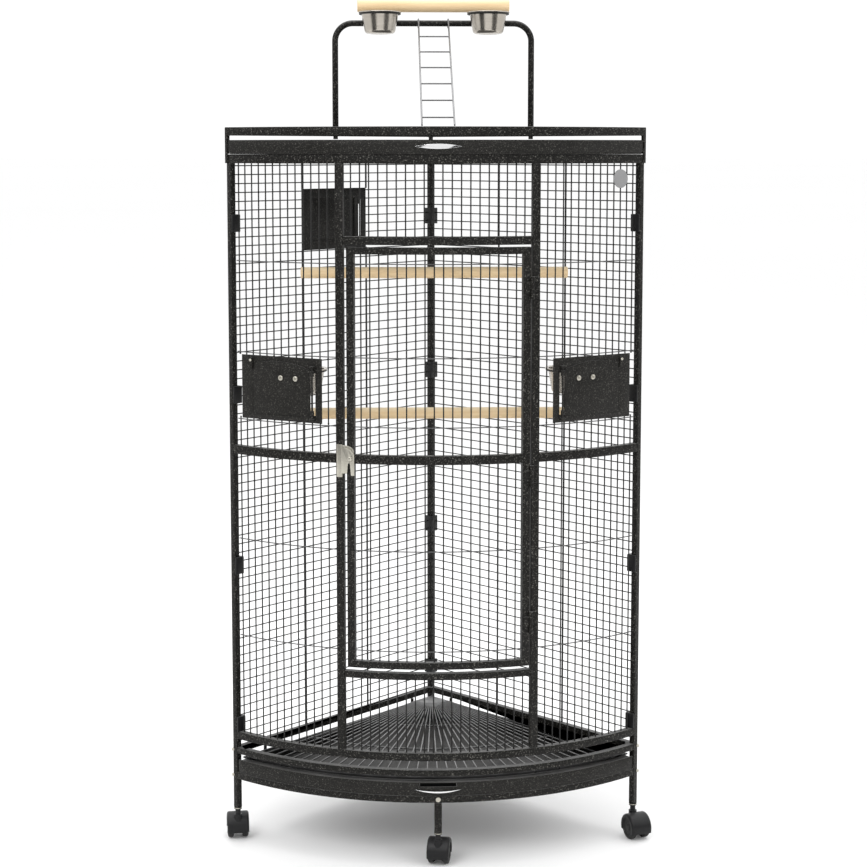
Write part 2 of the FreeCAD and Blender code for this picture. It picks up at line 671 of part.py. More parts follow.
# ---------------------------------------------------------------- play top
def play_arch():
    foot, bar, bend, span = ROOF_RING[1], ARCH_BAR_HEIGHT, ARCH_BEND, ARCH_HALF_SPAN
    parts = []
    for sign in (-1, 1):
        parts.append(rod(Vec(sign * span, ARCH_Y, foot), Vec(sign * span, ARCH_Y, bar - bend), ARCH_R))
        corner = Vec(sign * (span - bend), ARCH_Y, bar - bend)
        elbow = Part.Face(Part.Wire(Part.makeCircle(ARCH_R, Vec(sign * span, ARCH_Y, bar - bend), UP)))
        parts.append(elbow.revolve(corner, Vec(0, -sign, 0), 90))
    parts.append(rod(Vec(bend - span, ARCH_Y, bar), Vec(span - bend, ARCH_Y, bar), ARCH_R))
    save("play_arch", fuse(parts))


def play_cup_rings():
    """Two rings, each on a stud that also carries the play perch above the arch."""
    rings_and_studs = []
    ring_y = ARCH_Y - PLAY_RING_SETBACK
    for sign in (-1, 1):
        x = sign * PLAY_RING_X
        torus = Part.makeTorus(PLAY_RING_R, RING_WIRE_R, Vec(x, ring_y, PLAY_RING_HEIGHT))
        perch_low = ARCH_BAR_HEIGHT + 37.3 - PLAY_PERCH_R
        stud = rod(Vec(x, ARCH_Y, ARCH_BAR_HEIGHT + ARCH_R - 1), Vec(x, ARCH_Y, perch_low + 1), 4.0)
        arm = box((x - 6, x + 6), (ring_y + PLAY_RING_R - 1, ARCH_Y),
                  (PLAY_RING_HEIGHT - 1.2, PLAY_RING_HEIGHT + 1.2))
        rings_and_studs.append(fuse([torus, stud, arm]))
    save("play_cup_rings", group(rings_and_studs))


def play_cups():
    for sign, name in ((-1, "left"), (1, "right")):
        dish = cup(*PLAY_CUP)
        seat = PLAY_RING_HEIGHT + RING_WIRE_R + 0.3
        dish.translate(Vec(sign * PLAY_RING_X, ARCH_Y - PLAY_RING_SETBACK, seat))
        save("play_cup_%s" % name, dish)


def ladder():
    """Wire ladder hooked over the arch bar and leaning on the front of the roof ring."""
    bar = Vec(0, ARCH_Y, ARCH_BAR_HEIGHT)
    hook_r = ARCH_R + 0.5 + LADDER_WIRE_R
    foot = arc_point(FRONT_R + ROOF_OFFSET, 0, ROOF_RING[1] + LADDER_WIRE_R + 0.4)
    lean = math.atan2(bar.z - foot.z, bar.y - foot.y) + math.asin(hook_r / (bar - foot).Length)
    away = Vec(0, -math.sin(lean), math.cos(lean))
    down = Vec(0, -math.cos(lean), -math.sin(lean))
    start = bar + away * hook_r
    length = (foot - start).dot(down)
    parts = []
    rails = []
    for sign in (-1, 1):
        side = Vec(sign * LADDER_WIDTH / 2, 0, 0)
        head, end = start + side, start + down * length + side
        parts.append(rod(head + down * HAIR, end, LADDER_WIRE_R))
        rails.append(rod(head, end, LADDER_WIRE_R + HAIR))
        disc = Part.Face(Part.Wire(Part.makeCircle(LADDER_WIRE_R, head, down)))
        parts.append(disc.revolve(bar + side, Vec(-1, 0, 0), 200))
    across = Vec(LADDER_WIDTH / 2, 0, 0)
    for i in range(LADDER_RUNGS):
        level = start + down * length * (LADDER_FIRST + i * LADDER_STEP)
        parts.append(rod(level - across, level + across, LADDER_WIRE_R * 0.9).cut(rails))
    save("ladder", group(parts))


# ---------------------------------------------------------------- trays and grate
def pull(front_y, height):
    """Half-moon pull: a lens seen from the front, rounded forward in plan."""
    half, rise = HANDLE_WIDTH / 2, HANDLE_HEIGHT / 2
    top = Part.Arc(Vec(-half, 0, 0), Vec(0, 0, rise), Vec(half, 0, 0)).toShape()
    low = Part.Arc(Vec(half, 0, 0), Vec(0, 0, -rise), Vec(-half, 0, 0)).toShape()
    lens = Part.Face(Part.Wire([top, low])).extrude(Vec(0, -HANDLE_REACH, 0))
    bulge = (half ** 2 + HANDLE_REACH ** 2) / (2 * HANDLE_REACH)
    body = lens.common(Part.makeCylinder(bulge, 40, Vec(0, bulge - HANDLE_REACH, -20)))
    body.translate(Vec(0, front_y, height))
    return body


def tray(floor, wall_top, front, offset, back_inset, half_width, plate_half):
    """Sheet pan with low walls and a taller curved front plate with a finger slot."""
    sheet = 1.2
    outer_r = FRONT_R + offset
    shell = sector(outer_r, back_inset, half_width, floor, wall_top)
    hollow = sector(outer_r - sheet, back_inset + sheet, half_width - sheet, floor + sheet, wall_top + 5)
    reach = angle_at_x(outer_r, plate_half)
    plate = arc_bar(outer_r - sheet, outer_r + sheet, -reach, reach, *front)
    return fuse([shell.cut(hollow), plate])


def trays():
    front_offset = HALF_TUBE - 1.6
    base = tray(TRAY_FLOOR, TRAY_WALL_TOP, (TRAY_FLOOR, TRAY_FRONT_TOP), front_offset, 9.0, 407.0, 415.0)
    lip_r = FRONT_R + front_offset
    lip_end = angle_at_x(lip_r - 15.0, 400.0)
    lip = arc_bar(lip_r - 15.0, lip_r + 1.2, -lip_end, lip_end, TRAY_FRONT_TOP - 1.2, TRAY_FRONT_TOP)
    slot_span = (TRAY_FRONT_TOP - 9, TRAY_FRONT_TOP - 1.5)
    slot = box((-38, 38), (-FRONT_SAGITTA - 30, -FRONT_SAGITTA + 8), slot_span)
    save("base_tray", fuse([base, lip]).cut(slot))
    face = -FRONT_SAGITTA - front_offset - 1.2
    save("base_tray_handle", pull(face, TRAY_FRONT_TOP - 14.2))
    roof_offset = ROOF_OFFSET + HALF_TUBE - 1.6
    wall_top = ROOF_TRAY_FRONT[1] - 4
    roof = tray(ROOF_TRAY_FLOOR, wall_top, ROOF_TRAY_FRONT, roof_offset, 6.0, 420.0, 422.0)
    save("roof_tray", roof)
    roof_face = -FRONT_SAGITTA - roof_offset - 1.2
    save("roof_tray_handle", pull(roof_face, sum(ROOF_TRAY_FRONT) / 2 - 1.0))


def floor_grate():
    """Fan of wires from the rear corner, tied by curved wires and a frame, with a front strip."""
    rim_r, wire_r, inset = 2.5, 1.5, 14.0
    rim_z = GRATE_BASE + rim_r
    fan_z = rim_z + 3.5
    cross_z = fan_z - 2 * wire_r
    front_r = FRONT_R - 13.0
    apex_y = HALF_CHORD - inset * math.sqrt(2)
    corner = grate_corner(front_r, apex_y)
    end = math.atan2(corner.x, ARC_Y - corner.y)
    parts = [arc_wire(front_r, rim_z, -end, end, rim_r)]
    for sign in (-1, 1):
        tip = Vec(sign * 12.0, apex_y - 12.0, rim_z)
        parts.append(rod(Vec(sign * corner.x, corner.y, rim_z), tip, rim_r))
        parts.append(Part.makeSphere(rim_r, Vec(sign * corner.x, corner.y, rim_z)))
    gusset = [(0, apex_y), (48, apex_y - 48), (0, apex_y - 84), (-48, apex_y - 48)]
    parts.append(prism(gusset, rim_z - 1, fan_z + 1))
    hub = Vec(0, apex_y, fan_z)
    pitch = math.radians(2.36)
    for i in range(-18, 19):
        heading = Vec(math.sin(i * pitch), -math.cos(i * pitch), 0)
        parts.append(rod(hub + heading * 56.0, hub + heading * fan_reach(heading, apex_y, front_r), wire_r))
    for radius in (180.0, 300.0, 455.0):
        half = cross_half_angle(radius, apex_y)
        parts.append(arc_wire(radius, cross_z, -half, half, wire_r))
    strip = arc_bar(front_r + 1.0, front_r + 3.0, -end * 0.93, end * 0.93, GRATE_BASE, UPPER_RING[0] - 1.0)
    save("floor_grate", group([strip] + parts))


def grate_corner(front_r, apex_y):
    """Where the 45 degree side of the grate meets its curved front, right-hand side."""
    step = 0.5
    x = 300.0
    while apex_y - x > ARC_Y - math.sqrt(front_r ** 2 - x ** 2):
        x += step
    return Vec(x, apex_y - x, 0)


def fan_reach(heading, apex_y, front_r):
    """Distance from the fan's hub to the curved front along a heading."""
    gap = ARC_Y - apex_y
    across = -heading.y * gap
    return -across + math.sqrt(across ** 2 - gap ** 2 + front_r ** 2)


def cross_half_angle(radius, apex_y):
    """Half angle at which a circle about the arc axis meets the 45 degree sides."""
    angle = 0.1
    while radius * math.sin(angle) < apex_y - (ARC_Y - radius * math.cos(angle)) and angle < 1.5:
        angle += 0.002
    return angle


# ---------------------------------------------------------------- casters
def tyre_room(axle, outward):
    """Room for one tyre in the hood: it follows the tyre's rounded shoulder and is open at the end."""
    start = axle + outward * (WHEEL_SPLIT / 2 - 0.6)
    depth = WHEEL_W + 1.3
    room = Part.makeCylinder(WHEEL_R + 0.8, depth, start, outward)
    room = room.makeFillet(4.5, [e for e in room.Edges if (e.CenterOfMass - start).Length > depth * 0.9])
    return room.fuse(Part.makeCylinder(WHEEL_R - 5.5, depth + 5, start, outward))


def caster_yoke():
    """Hood, web, stem and washer, swivel axis on the local Z axis and trail along +X."""
    half = WHEEL_SPLIT / 2 + WHEEL_W + 1.5
    axle = Vec(TRAIL, 0, WHEEL_R)
    across = Vec(0, 1, 0)
    hood = Part.makeCylinder(HOOD_R, 2 * half, axle - across * half, across)
    hood = hood.makeFillet(5.0, [e for e in hood.Edges if len(e.Vertexes) == 1])
    hood = hood.cut(box((-20, 80), (-half - 1, half + 1), (-10, WHEEL_R - 9)))
    rooms = [tyre_room(axle, across * sign) for sign in (-1, 1)]
    boss = rod(Vec(0, 0, WHEEL_R + 13), Vec(0, 0, 55), 8.5).cut(rooms)
    hood = hood.cut(rooms)
    stem = rod(Vec(0, 0, 54), Vec(0, 0, LEG_FOOT - 0.3), 5.5)
    washer = rod(Vec(0, 0, 66.4), Vec(0, 0, LEG_FOOT - 0.3), 8.0)
    body = fuse([hood, boss, stem, washer])
    return body.cut(Part.makeCylinder(AXLE_R + RUN_FIT, 60, axle - across * 30, across))


def caster_wheels():
    """Two tyres on one axle."""
    axle = Vec(TRAIL, 0, WHEEL_R)
    across = Vec(0, 1, 0)
    parts = [Part.makeCylinder(AXLE_R, WHEEL_SPLIT + 2, axle - across * (WHEEL_SPLIT / 2 + 1), across)]
    for sign in (-1, 1):
        start = axle + across * (sign * WHEEL_SPLIT / 2)
        tyre = Part.makeCylinder(WHEEL_R, WHEEL_W, start, across * sign)
        rims = [e for e in tyre.Edges if len(e.Vertexes) == 1]
        parts.append(tyre.makeFillet(4.5, rims))
    return fuse(parts)


def caster_centres():
    front = arc_point(FRONT_R, 0)
    return {"left": POSTS["left"], "right": POSTS["right"], "front": front, "rear": POSTS["rear"]}


def casters():
    for name, centre in caster_centres().items():
        for part, shape in (("yoke", caster_yoke()), ("wheels", caster_wheels())):
            shape.rotate(Vec(), UP, CASTER_TRAIL_DEG[name])
            shape.translate(centre)
            save("caster_%s_%s" % (part, name), shape)


def tag_disc():
    angle = math.radians(35.3)
    start = arc_point(FRONT_R + WIRE / 2 + 0.2, angle, 1394.8)
    out = Vec(math.sin(angle), -math.cos(angle), 0)
    save("tag_disc", rod(start, start + out * 2.5, 19.0))


def save(name, shape):
    moved = shape.copy()
    moved.translate(ORIGIN_SHIFT)
    moved.exportStep("parts/%s.step" % name)


def main():
    os.makedirs("parts", exist_ok=True)
    frame = (posts, rings, front_rails, panel_connectors, frame_bolts)
    wire_work = (back_wires, front_wires, roof_grille, grate_runners)
    door = (door_frame, door_hardware, door_latch)
    play_top = (play_arch, play_cup_rings, play_cups, ladder)
    loose = (feeders, perches, trays, floor_grate, casters, tag_disc)
    for build in frame + wire_work + door + play_top + loose:
        build()


main()
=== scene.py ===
"""Looks of a corner bird cage on casters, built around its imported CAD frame.

Rails, plates and trays are softened copies of the CAD solids. Wires are swept along the centre lines
of the CAD wires, with weld dabs where they cross. Cups, dowels and wheels are turned on a lathe.
"""
import enum
import json
import logging
from collections.abc import Callable, Sequence
from dataclasses import dataclass, field
from math import asin, cos, pi, radians, sin, sqrt

import bmesh
import bpy
import numpy as np
from mathutils import Matrix, Vector
from mathutils.geometry import intersect_line_line

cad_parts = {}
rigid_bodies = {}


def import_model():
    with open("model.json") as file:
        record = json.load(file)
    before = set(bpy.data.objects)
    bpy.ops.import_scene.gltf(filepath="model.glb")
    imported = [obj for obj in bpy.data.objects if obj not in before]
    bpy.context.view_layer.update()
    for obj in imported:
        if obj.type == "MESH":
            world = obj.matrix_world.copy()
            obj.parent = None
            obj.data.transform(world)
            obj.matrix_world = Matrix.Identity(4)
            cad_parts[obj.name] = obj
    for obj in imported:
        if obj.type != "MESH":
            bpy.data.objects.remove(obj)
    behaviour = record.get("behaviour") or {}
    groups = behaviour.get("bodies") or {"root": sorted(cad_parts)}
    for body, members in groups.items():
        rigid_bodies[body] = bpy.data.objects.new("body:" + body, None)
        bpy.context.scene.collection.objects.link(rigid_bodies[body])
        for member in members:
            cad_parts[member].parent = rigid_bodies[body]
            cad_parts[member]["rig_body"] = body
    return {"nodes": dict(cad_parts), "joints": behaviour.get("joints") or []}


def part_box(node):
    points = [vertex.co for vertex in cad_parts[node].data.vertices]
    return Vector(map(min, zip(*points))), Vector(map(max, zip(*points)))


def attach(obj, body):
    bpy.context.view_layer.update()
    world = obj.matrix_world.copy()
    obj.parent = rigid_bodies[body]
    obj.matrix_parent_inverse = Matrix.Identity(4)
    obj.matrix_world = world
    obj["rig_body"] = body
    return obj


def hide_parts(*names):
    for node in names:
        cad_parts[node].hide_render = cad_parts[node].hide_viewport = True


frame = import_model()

LOG = logging.getLogger("cage")

Node, NodeTree, Thing = bpy.types.Node, bpy.types.NodeTree, bpy.types.Object
Pair, Triple = tuple[float, float], tuple[float, float, float]
Outline = Sequence[Pair]

UP = Vector((0, 0, 1))
SAME_PLACE = 2e-6  # vertices this near each other are one
NEAR_AXIS = 1e-7  # a smaller radius closes an outline
FLAT_ANGLE = radians(0.6)  # facets that differ less are one face
ROUND_ANGLE = radians(34)  # edges that fold more are rounded over
SHARP_ANGLE = radians(50)  # edges that fold more look sharp

END_SLICE = 2e-4  # vertices this near the tip of a wire make its end
LEVEL_RISE = 0.006  # a wire that rises more is not a level one
BENT_SHARE = 0.62  # a level wire that strays this share of its thickness is bent
BEND_POINTS = 9  # points along a bent wire
TOUCH_SHARE = 1.2  # wires nearer than this share of their radii are welded

FLOAT, VECTOR, GEOMETRY = "NodeSocketFloat", "NodeSocketVector", "NodeSocketGeometry"
MATERIAL, OBJECT = "NodeSocketMaterial", "NodeSocketObject"

# Outlines of the turned fasteners, as (radius, height) from pole to pole, in metres.
SCREW_HEAD = ((0.0, 0.002), (0.0016, 0.002), (0.0019, 0.003), (0.004, 0.0029), (0.0052, 0.002),
              (0.0053, -0.0002), (0.0, -0.0004))
CATCH_STUD = ((0.0, 0.0034), (0.0016, 0.0032), (0.0028, 0.0022), (0.003, 0.0012), (0.0018, 0.0004),
              (0.0018, -0.0006), (0.0, -0.0006))
PIN_CAP = ((0.0, 0.0014), (0.0026, 0.0012), (0.0044, 0.0005), (0.0052, -0.0003), (0.0053, -0.0016),
           (0.0, -0.0016))
WASHER = ((0.0, -0.0024), (0.0078, -0.0024), (0.0083, -0.0018), (0.0083, -0.0008), (0.0078, -0.0003),
          (0.0, -0.0003))
# Outline of the latch's back plate, as (across, up) from the latch pin, in metres.
BACK_PLATE = ((-0.016, -0.008), (0.0072, -0.008), (0.0072, 0.016), (0.0062, 0.019), (0.004, 0.0215),
              (0.0, 0.024), (-0.006, 0.026), (-0.016, 0.0275))


# ---- node helpers
class Graph:
    """A short way to place and join nodes in one node tree."""

    def __init__(self, tree: NodeTree) -> None:
        """Work on the given tree."""
        self.tree = tree

    def add(self, kind: str, **values: object) -> Node:
        """Place a node.

        Args:
            kind: Blender's name of the node type.
            values: node properties; a name that starts with "in_" is the input at that place or name, and
                takes a value or the (node, output) it is linked to.

        Returns:
            The new node.
        """
        node = self.tree.nodes.new(kind)
        for key, value in values.items():
            if not key.startswith("in_"):
                setattr(node, key, value)
        for key, value in values.items():
            if key.startswith("in_"):
                name = key[3:].replace("_", " ")
                into = int(name) if name.isdigit() else name
                if isinstance(value, tuple) and isinstance(value[0], Node):
                    self.join(*value, node, into)
                else:
                    node.inputs[into].default_value = value
        return node

    def join(self, giver: Node, out: str | int, taker: Node, into: str | int) -> None:
        """Link an output of one node to an input of another, each by name or place."""
        self.tree.links.new(giver.outputs[out], taker.inputs[into])



def open_group(name: str, kind: str, inputs: dict[str, float | str],
               outputs: dict[str, str]) -> tuple[Graph, Node, Node]:
    """Open a node group and declare its sockets.

    Args:
        name: name of the group.
        kind: Blender's name of the tree type.
        inputs: the default of a float input, or the socket type of any other.
        outputs: name to socket type.

    Returns:
        The graph, its group input and its group output.
    """
    tree = bpy.data.node_groups.new(name, kind)
    for key, value in inputs.items():
        number = isinstance(value, float)
        socket = tree.interface.new_socket(key, in_out="INPUT", socket_type=FLOAT if number else value)
        if number:
            socket.default_value = value
    for key, value in outputs.items():
        tree.interface.new_socket(key, in_out="OUTPUT", socket_type=value)
    g = Graph(tree)
    return g, g.add("NodeGroupInput"), g.add("NodeGroupOutput")



class Effects:
    """Shader node groups that several finishes share, each built once."""

    def __init__(self) -> None:
        """Build the groups."""
        self.hammer = self.hammer_tone()
        self.patina_and_top_light = self.handling_patina_and_top_light()
        self.streaks = self.fine_streaks()

    @staticmethod
    def hammer_tone() -> NodeTree:
        """Small rounded cells with pale flecks, as in a textured powder coat.

        Returns:
            A group that puts out Height and Fleck.
        """
        g, source, sink = open_group(
            "hammer_tone", "ShaderNodeTree", {"Vector": VECTOR, "Cell Scale": 420.0, "Fleck Scale": 620.0},
            {"Height": FLOAT, "Fleck": FLOAT})
        cells = g.add("ShaderNodeTexVoronoi", feature="SMOOTH_F1", in_Smoothness=0.6, in_Vector=(source, "Vector"),
                      in_Scale=(source, "Cell Scale"))
        flecks = g.add("ShaderNodeTexNoise", in_Detail=3.0, in_Roughness=0.7, in_Vector=(source, "Vector"),
                       in_Scale=(source, "Fleck Scale"))
        sift = g.add("ShaderNodeMapRange", interpolation_type="SMOOTHSTEP", in_Value=(flecks, 0),
                     in_From_Min=0.54, in_From_Max=0.74)
        g.join(cells, "Distance", sink, "Height")
        g.join(sift, "Result", sink, "Fleck")
        return g.tree

    @staticmethod
    def handling_patina_and_top_light() -> NodeTree:
        """Broad soft blotches of handling, and a lighter cast on faces that look up: dust and painted light from
        above.

        Returns:
            A group that puts out Blotch, and a mask of the faces that look up, which are lightened as dust and
            painted top light.
        """
        g, source, sink = open_group(
            "handling_patina_and_top_light", "ShaderNodeTree", {"Vector": VECTOR, "Scale": 9.0}, {"Blotch": FLOAT, "Dust And Top Light": FLOAT})
        noise = g.add("ShaderNodeTexNoise", in_Detail=4.0, in_Roughness=0.6, in_Distortion=0.4,
                      in_Vector=(source, "Vector"), in_Scale=(source, "Scale"))
        # Faces that look up get lighter: dust, and painted light from above.
        facing = g.add("ShaderNodeNewGeometry")
        split = g.add("ShaderNodeSeparateXYZ", in_0=(facing, "Normal"))
        upward = g.add("ShaderNodeMapRange", in_Value=(split, "Z"), in_From_Min=0.3, in_From_Max=1.0)
        dust_and_top_light = g.add("ShaderNodeMath", operation="MULTIPLY", in_0=(upward, "Result"), in_1=(noise, 0))
        g.join(noise, 0, sink, "Blotch")
        g.join(dust_and_top_light, 0, sink, "Dust And Top Light")
        return g.tree

    @staticmethod
    def fine_streaks() -> NodeTree:
        """Fine lines along one axis, as left by brushing, turning or grain.

        Returns:
            A group that puts out Streak.
        """
        g, source, sink = open_group(
            "fine_streaks", "ShaderNodeTree", {"Vector": VECTOR, "Scale": 300.0}, {"Streak": FLOAT})
        noise = g.add("ShaderNodeTexNoise", in_Detail=5.0, in_Roughness=0.65, in_Vector=(source, "Vector"),
                      in_Scale=(source, "Scale"))
        g.join(noise, 0, sink, "Streak")
        return g.tree


# ---- finishes
class Slot(enum.Enum):
    """Material slots of the record."""

    COAT = "powder_coat"
    WIRE = "wire"
    WOOD = "wood"
    STAINLESS = "stainless"
    BRIGHT = "bright_steel"
    ZINC = "zinc"
    NYLON = "black_plastic"
    TAG = "tag_plastic"


@dataclass(frozen=True)
class Finish:
    """One finish: a base tone, a second tone, gloss and the texture over it."""

    name: str
    slot: Slot
    tone: Triple
    second: Triple
    rough: Pair
    metallic: float = 0.0
    specular: float = 0.5
    # How much lighter faces that look up get: dust and painted top light.
    dust_and_top_light: float = 0.04
    cell: float = 0.0
    fleck: float = 700.0
    stretch: Triple = (1.0, 1.0, 1.0)
    streak: float = 0.0
    bump: float = 0.2
    relief: float = 0.0003

    def make(self, effects: Effects) -> bpy.types.Material:
        """Build the node material.

        In a colour mix node, inputs 0, 6 and 7 are the factor and the two colours, and output 2 is the mix.

        Args:
            effects: the shared groups.

        Returns:
            The material.
        """
        material = bpy.data.materials.new(self.name)
        material.use_nodes = True
        material.node_tree.nodes.clear()
        g = Graph(material.node_tree)
        place = g.add("ShaderNodeTexCoord")
        aim = g.add("ShaderNodeMapping", in_Scale=self.stretch, in_Vector=(place, "Object"))
        patina_and_top_light = g.add("ShaderNodeGroup", node_tree=effects.patina_and_top_light, in_Vector=(place, "Object"))
        if self.cell:
            texture = g.add("ShaderNodeGroup", node_tree=effects.hammer, in_Vector=(aim, 0),
                            in_Cell_Scale=self.cell, in_Fleck_Scale=self.fleck)
            height, mask = "Height", "Fleck"
        else:
            texture = g.add("ShaderNodeGroup", node_tree=effects.streaks, in_Vector=(aim, 0), in_Scale=self.streak)
            height = mask = "Streak"
        tint = g.add("ShaderNodeMix", data_type="RGBA", in_0=(texture, mask), in_6=(*self.tone, 1.0),
                     in_7=(*self.second, 1.0))
        # Faces that look up are screened towards a lighter tone: dust, and painted light from above.
        pale = (*(min(1.0, c + self.dust_and_top_light) for c in self.tone), 1.0)
        dust_and_top_light_mix = g.add("ShaderNodeMix", data_type="RGBA", blend_type="SCREEN", in_0=(patina_and_top_light, "Dust And Top Light"),
                      in_6=(tint, 2), in_7=pale)
        gloss = g.add("ShaderNodeMapRange", in_Value=(patina_and_top_light, "Blotch"), in_From_Min=0.3, in_From_Max=0.7,
                      in_To_Min=self.rough[0], in_To_Max=self.rough[1])
        bump = g.add("ShaderNodeBump", in_Strength=self.bump, in_Distance=self.relief, in_Height=(texture, height))
        shader = g.add("ShaderNodeBsdfPrincipled", in_Metallic=self.metallic, in_Specular_IOR_Level=self.specular,
                       in_Base_Color=(dust_and_top_light_mix, 2), in_Roughness=(gloss, "Result"), in_Normal=(bump, 0))
        g.add("ShaderNodeOutputMaterial", in_Surface=(shader, 0))
        return material


# In these finishes the lightening of faces that look up is dust and painted light from above.
COAT = Finish("hammered_powder_coat", Slot.COAT, (0.0065, 0.0061, 0.0054), (0.17, 0.165, 0.148), (0.36, 0.52),
              specular=0.14, dust_and_top_light=0.2, cell=300.0, fleck=360.0, bump=0.5, relief=0.0006)
SHEET = Finish("sheet_powder_coat", Slot.COAT, (0.0095, 0.009, 0.008), (0.12, 0.116, 0.104), (0.38, 0.52),
               specular=0.16, dust_and_top_light=0.15, cell=380.0, fleck=460.0, bump=0.4, relief=0.0004)
WIRE = Finish("satin_wire_coat", Slot.WIRE, (0.008, 0.0078, 0.0074), (0.035, 0.034, 0.032), (0.32, 0.45),
              specular=0.25, cell=900.0, fleck=1100.0, bump=0.2, relief=0.0002)
# Lighter, shinier copy of the wire coat for the curved cross wires: painted highlight.
PAINTED_HIGHLIGHT_WIRE = Finish("bright_cross_wire", Slot.WIRE, (0.05, 0.05, 0.052), (0.13, 0.13, 0.13), (0.25, 0.4),
                   metallic=0.7, streak=350.0, stretch=(0.2, 0.2, 1.0), bump=0.1)
GRATE = Finish("satin_grate_coat", Slot.WIRE, (0.03, 0.03, 0.03), (0.08, 0.08, 0.078), (0.24, 0.36),
               specular=0.6, dust_and_top_light=0.5, cell=900.0, fleck=1100.0, bump=0.15, relief=0.0002)
LADDER = Finish("plated_ladder_wire", Slot.WIRE, (0.13, 0.13, 0.135), (0.28, 0.28, 0.28), (0.25, 0.4),
                metallic=0.85, streak=350.0, bump=0.1)
PINE = Finish("sanded_pine", Slot.WOOD, (0.83, 0.66, 0.42), (0.62, 0.42, 0.21), (0.5, 0.65),
              streak=170.0, stretch=(0.06, 1.0, 1.0), bump=0.25, relief=0.0004)
STAINLESS = Finish("spun_stainless", Slot.STAINLESS, (0.6, 0.56, 0.5), (0.34, 0.31, 0.27), (0.15, 0.28),
                   metallic=1.0, streak=520.0, stretch=(0.06, 0.06, 1.0), bump=0.12, relief=0.0002)
BRIGHT = Finish("polished_pull", Slot.BRIGHT, (0.86, 0.86, 0.87), (0.7, 0.7, 0.7), (0.1, 0.2),
                metallic=1.0, streak=420.0, stretch=(0.08, 1.0, 1.0), bump=0.06)
ZINC = Finish("plated_zinc", Slot.ZINC, (0.47, 0.45, 0.39), (0.22, 0.21, 0.175), (0.28, 0.45),
              metallic=0.9, cell=260.0, fleck=320.0, bump=0.2, relief=0.0003)
NYLON = Finish("moulded_nylon", Slot.NYLON, (0.006, 0.006, 0.0065), (0.02, 0.02, 0.02), (0.3, 0.46),
               specular=0.25, cell=1400.0, fleck=900.0, bump=0.15, relief=0.0002)
TREAD = Finish("caster_tread", Slot.NYLON, (0.008, 0.008, 0.008), (0.024, 0.024, 0.023), (0.5, 0.7),
               specular=0.3, streak=900.0, bump=0.3, relief=0.0003)
# Near-black sheet behind the finger slot of the base tray: painted shade.
RECESS_SHADE = Finish("recess_liner", Slot.NYLON, (0.002, 0.002, 0.002), (0.006, 0.006, 0.006), (0.7, 0.85),
                specular=0.1, dust_and_top_light=0.0, streak=600.0, bump=0.2)
DISC = Finish("grey_disc", Slot.TAG, (0.17, 0.17, 0.175), (0.24, 0.24, 0.24), (0.45, 0.6),
              streak=600.0, bump=0.15)


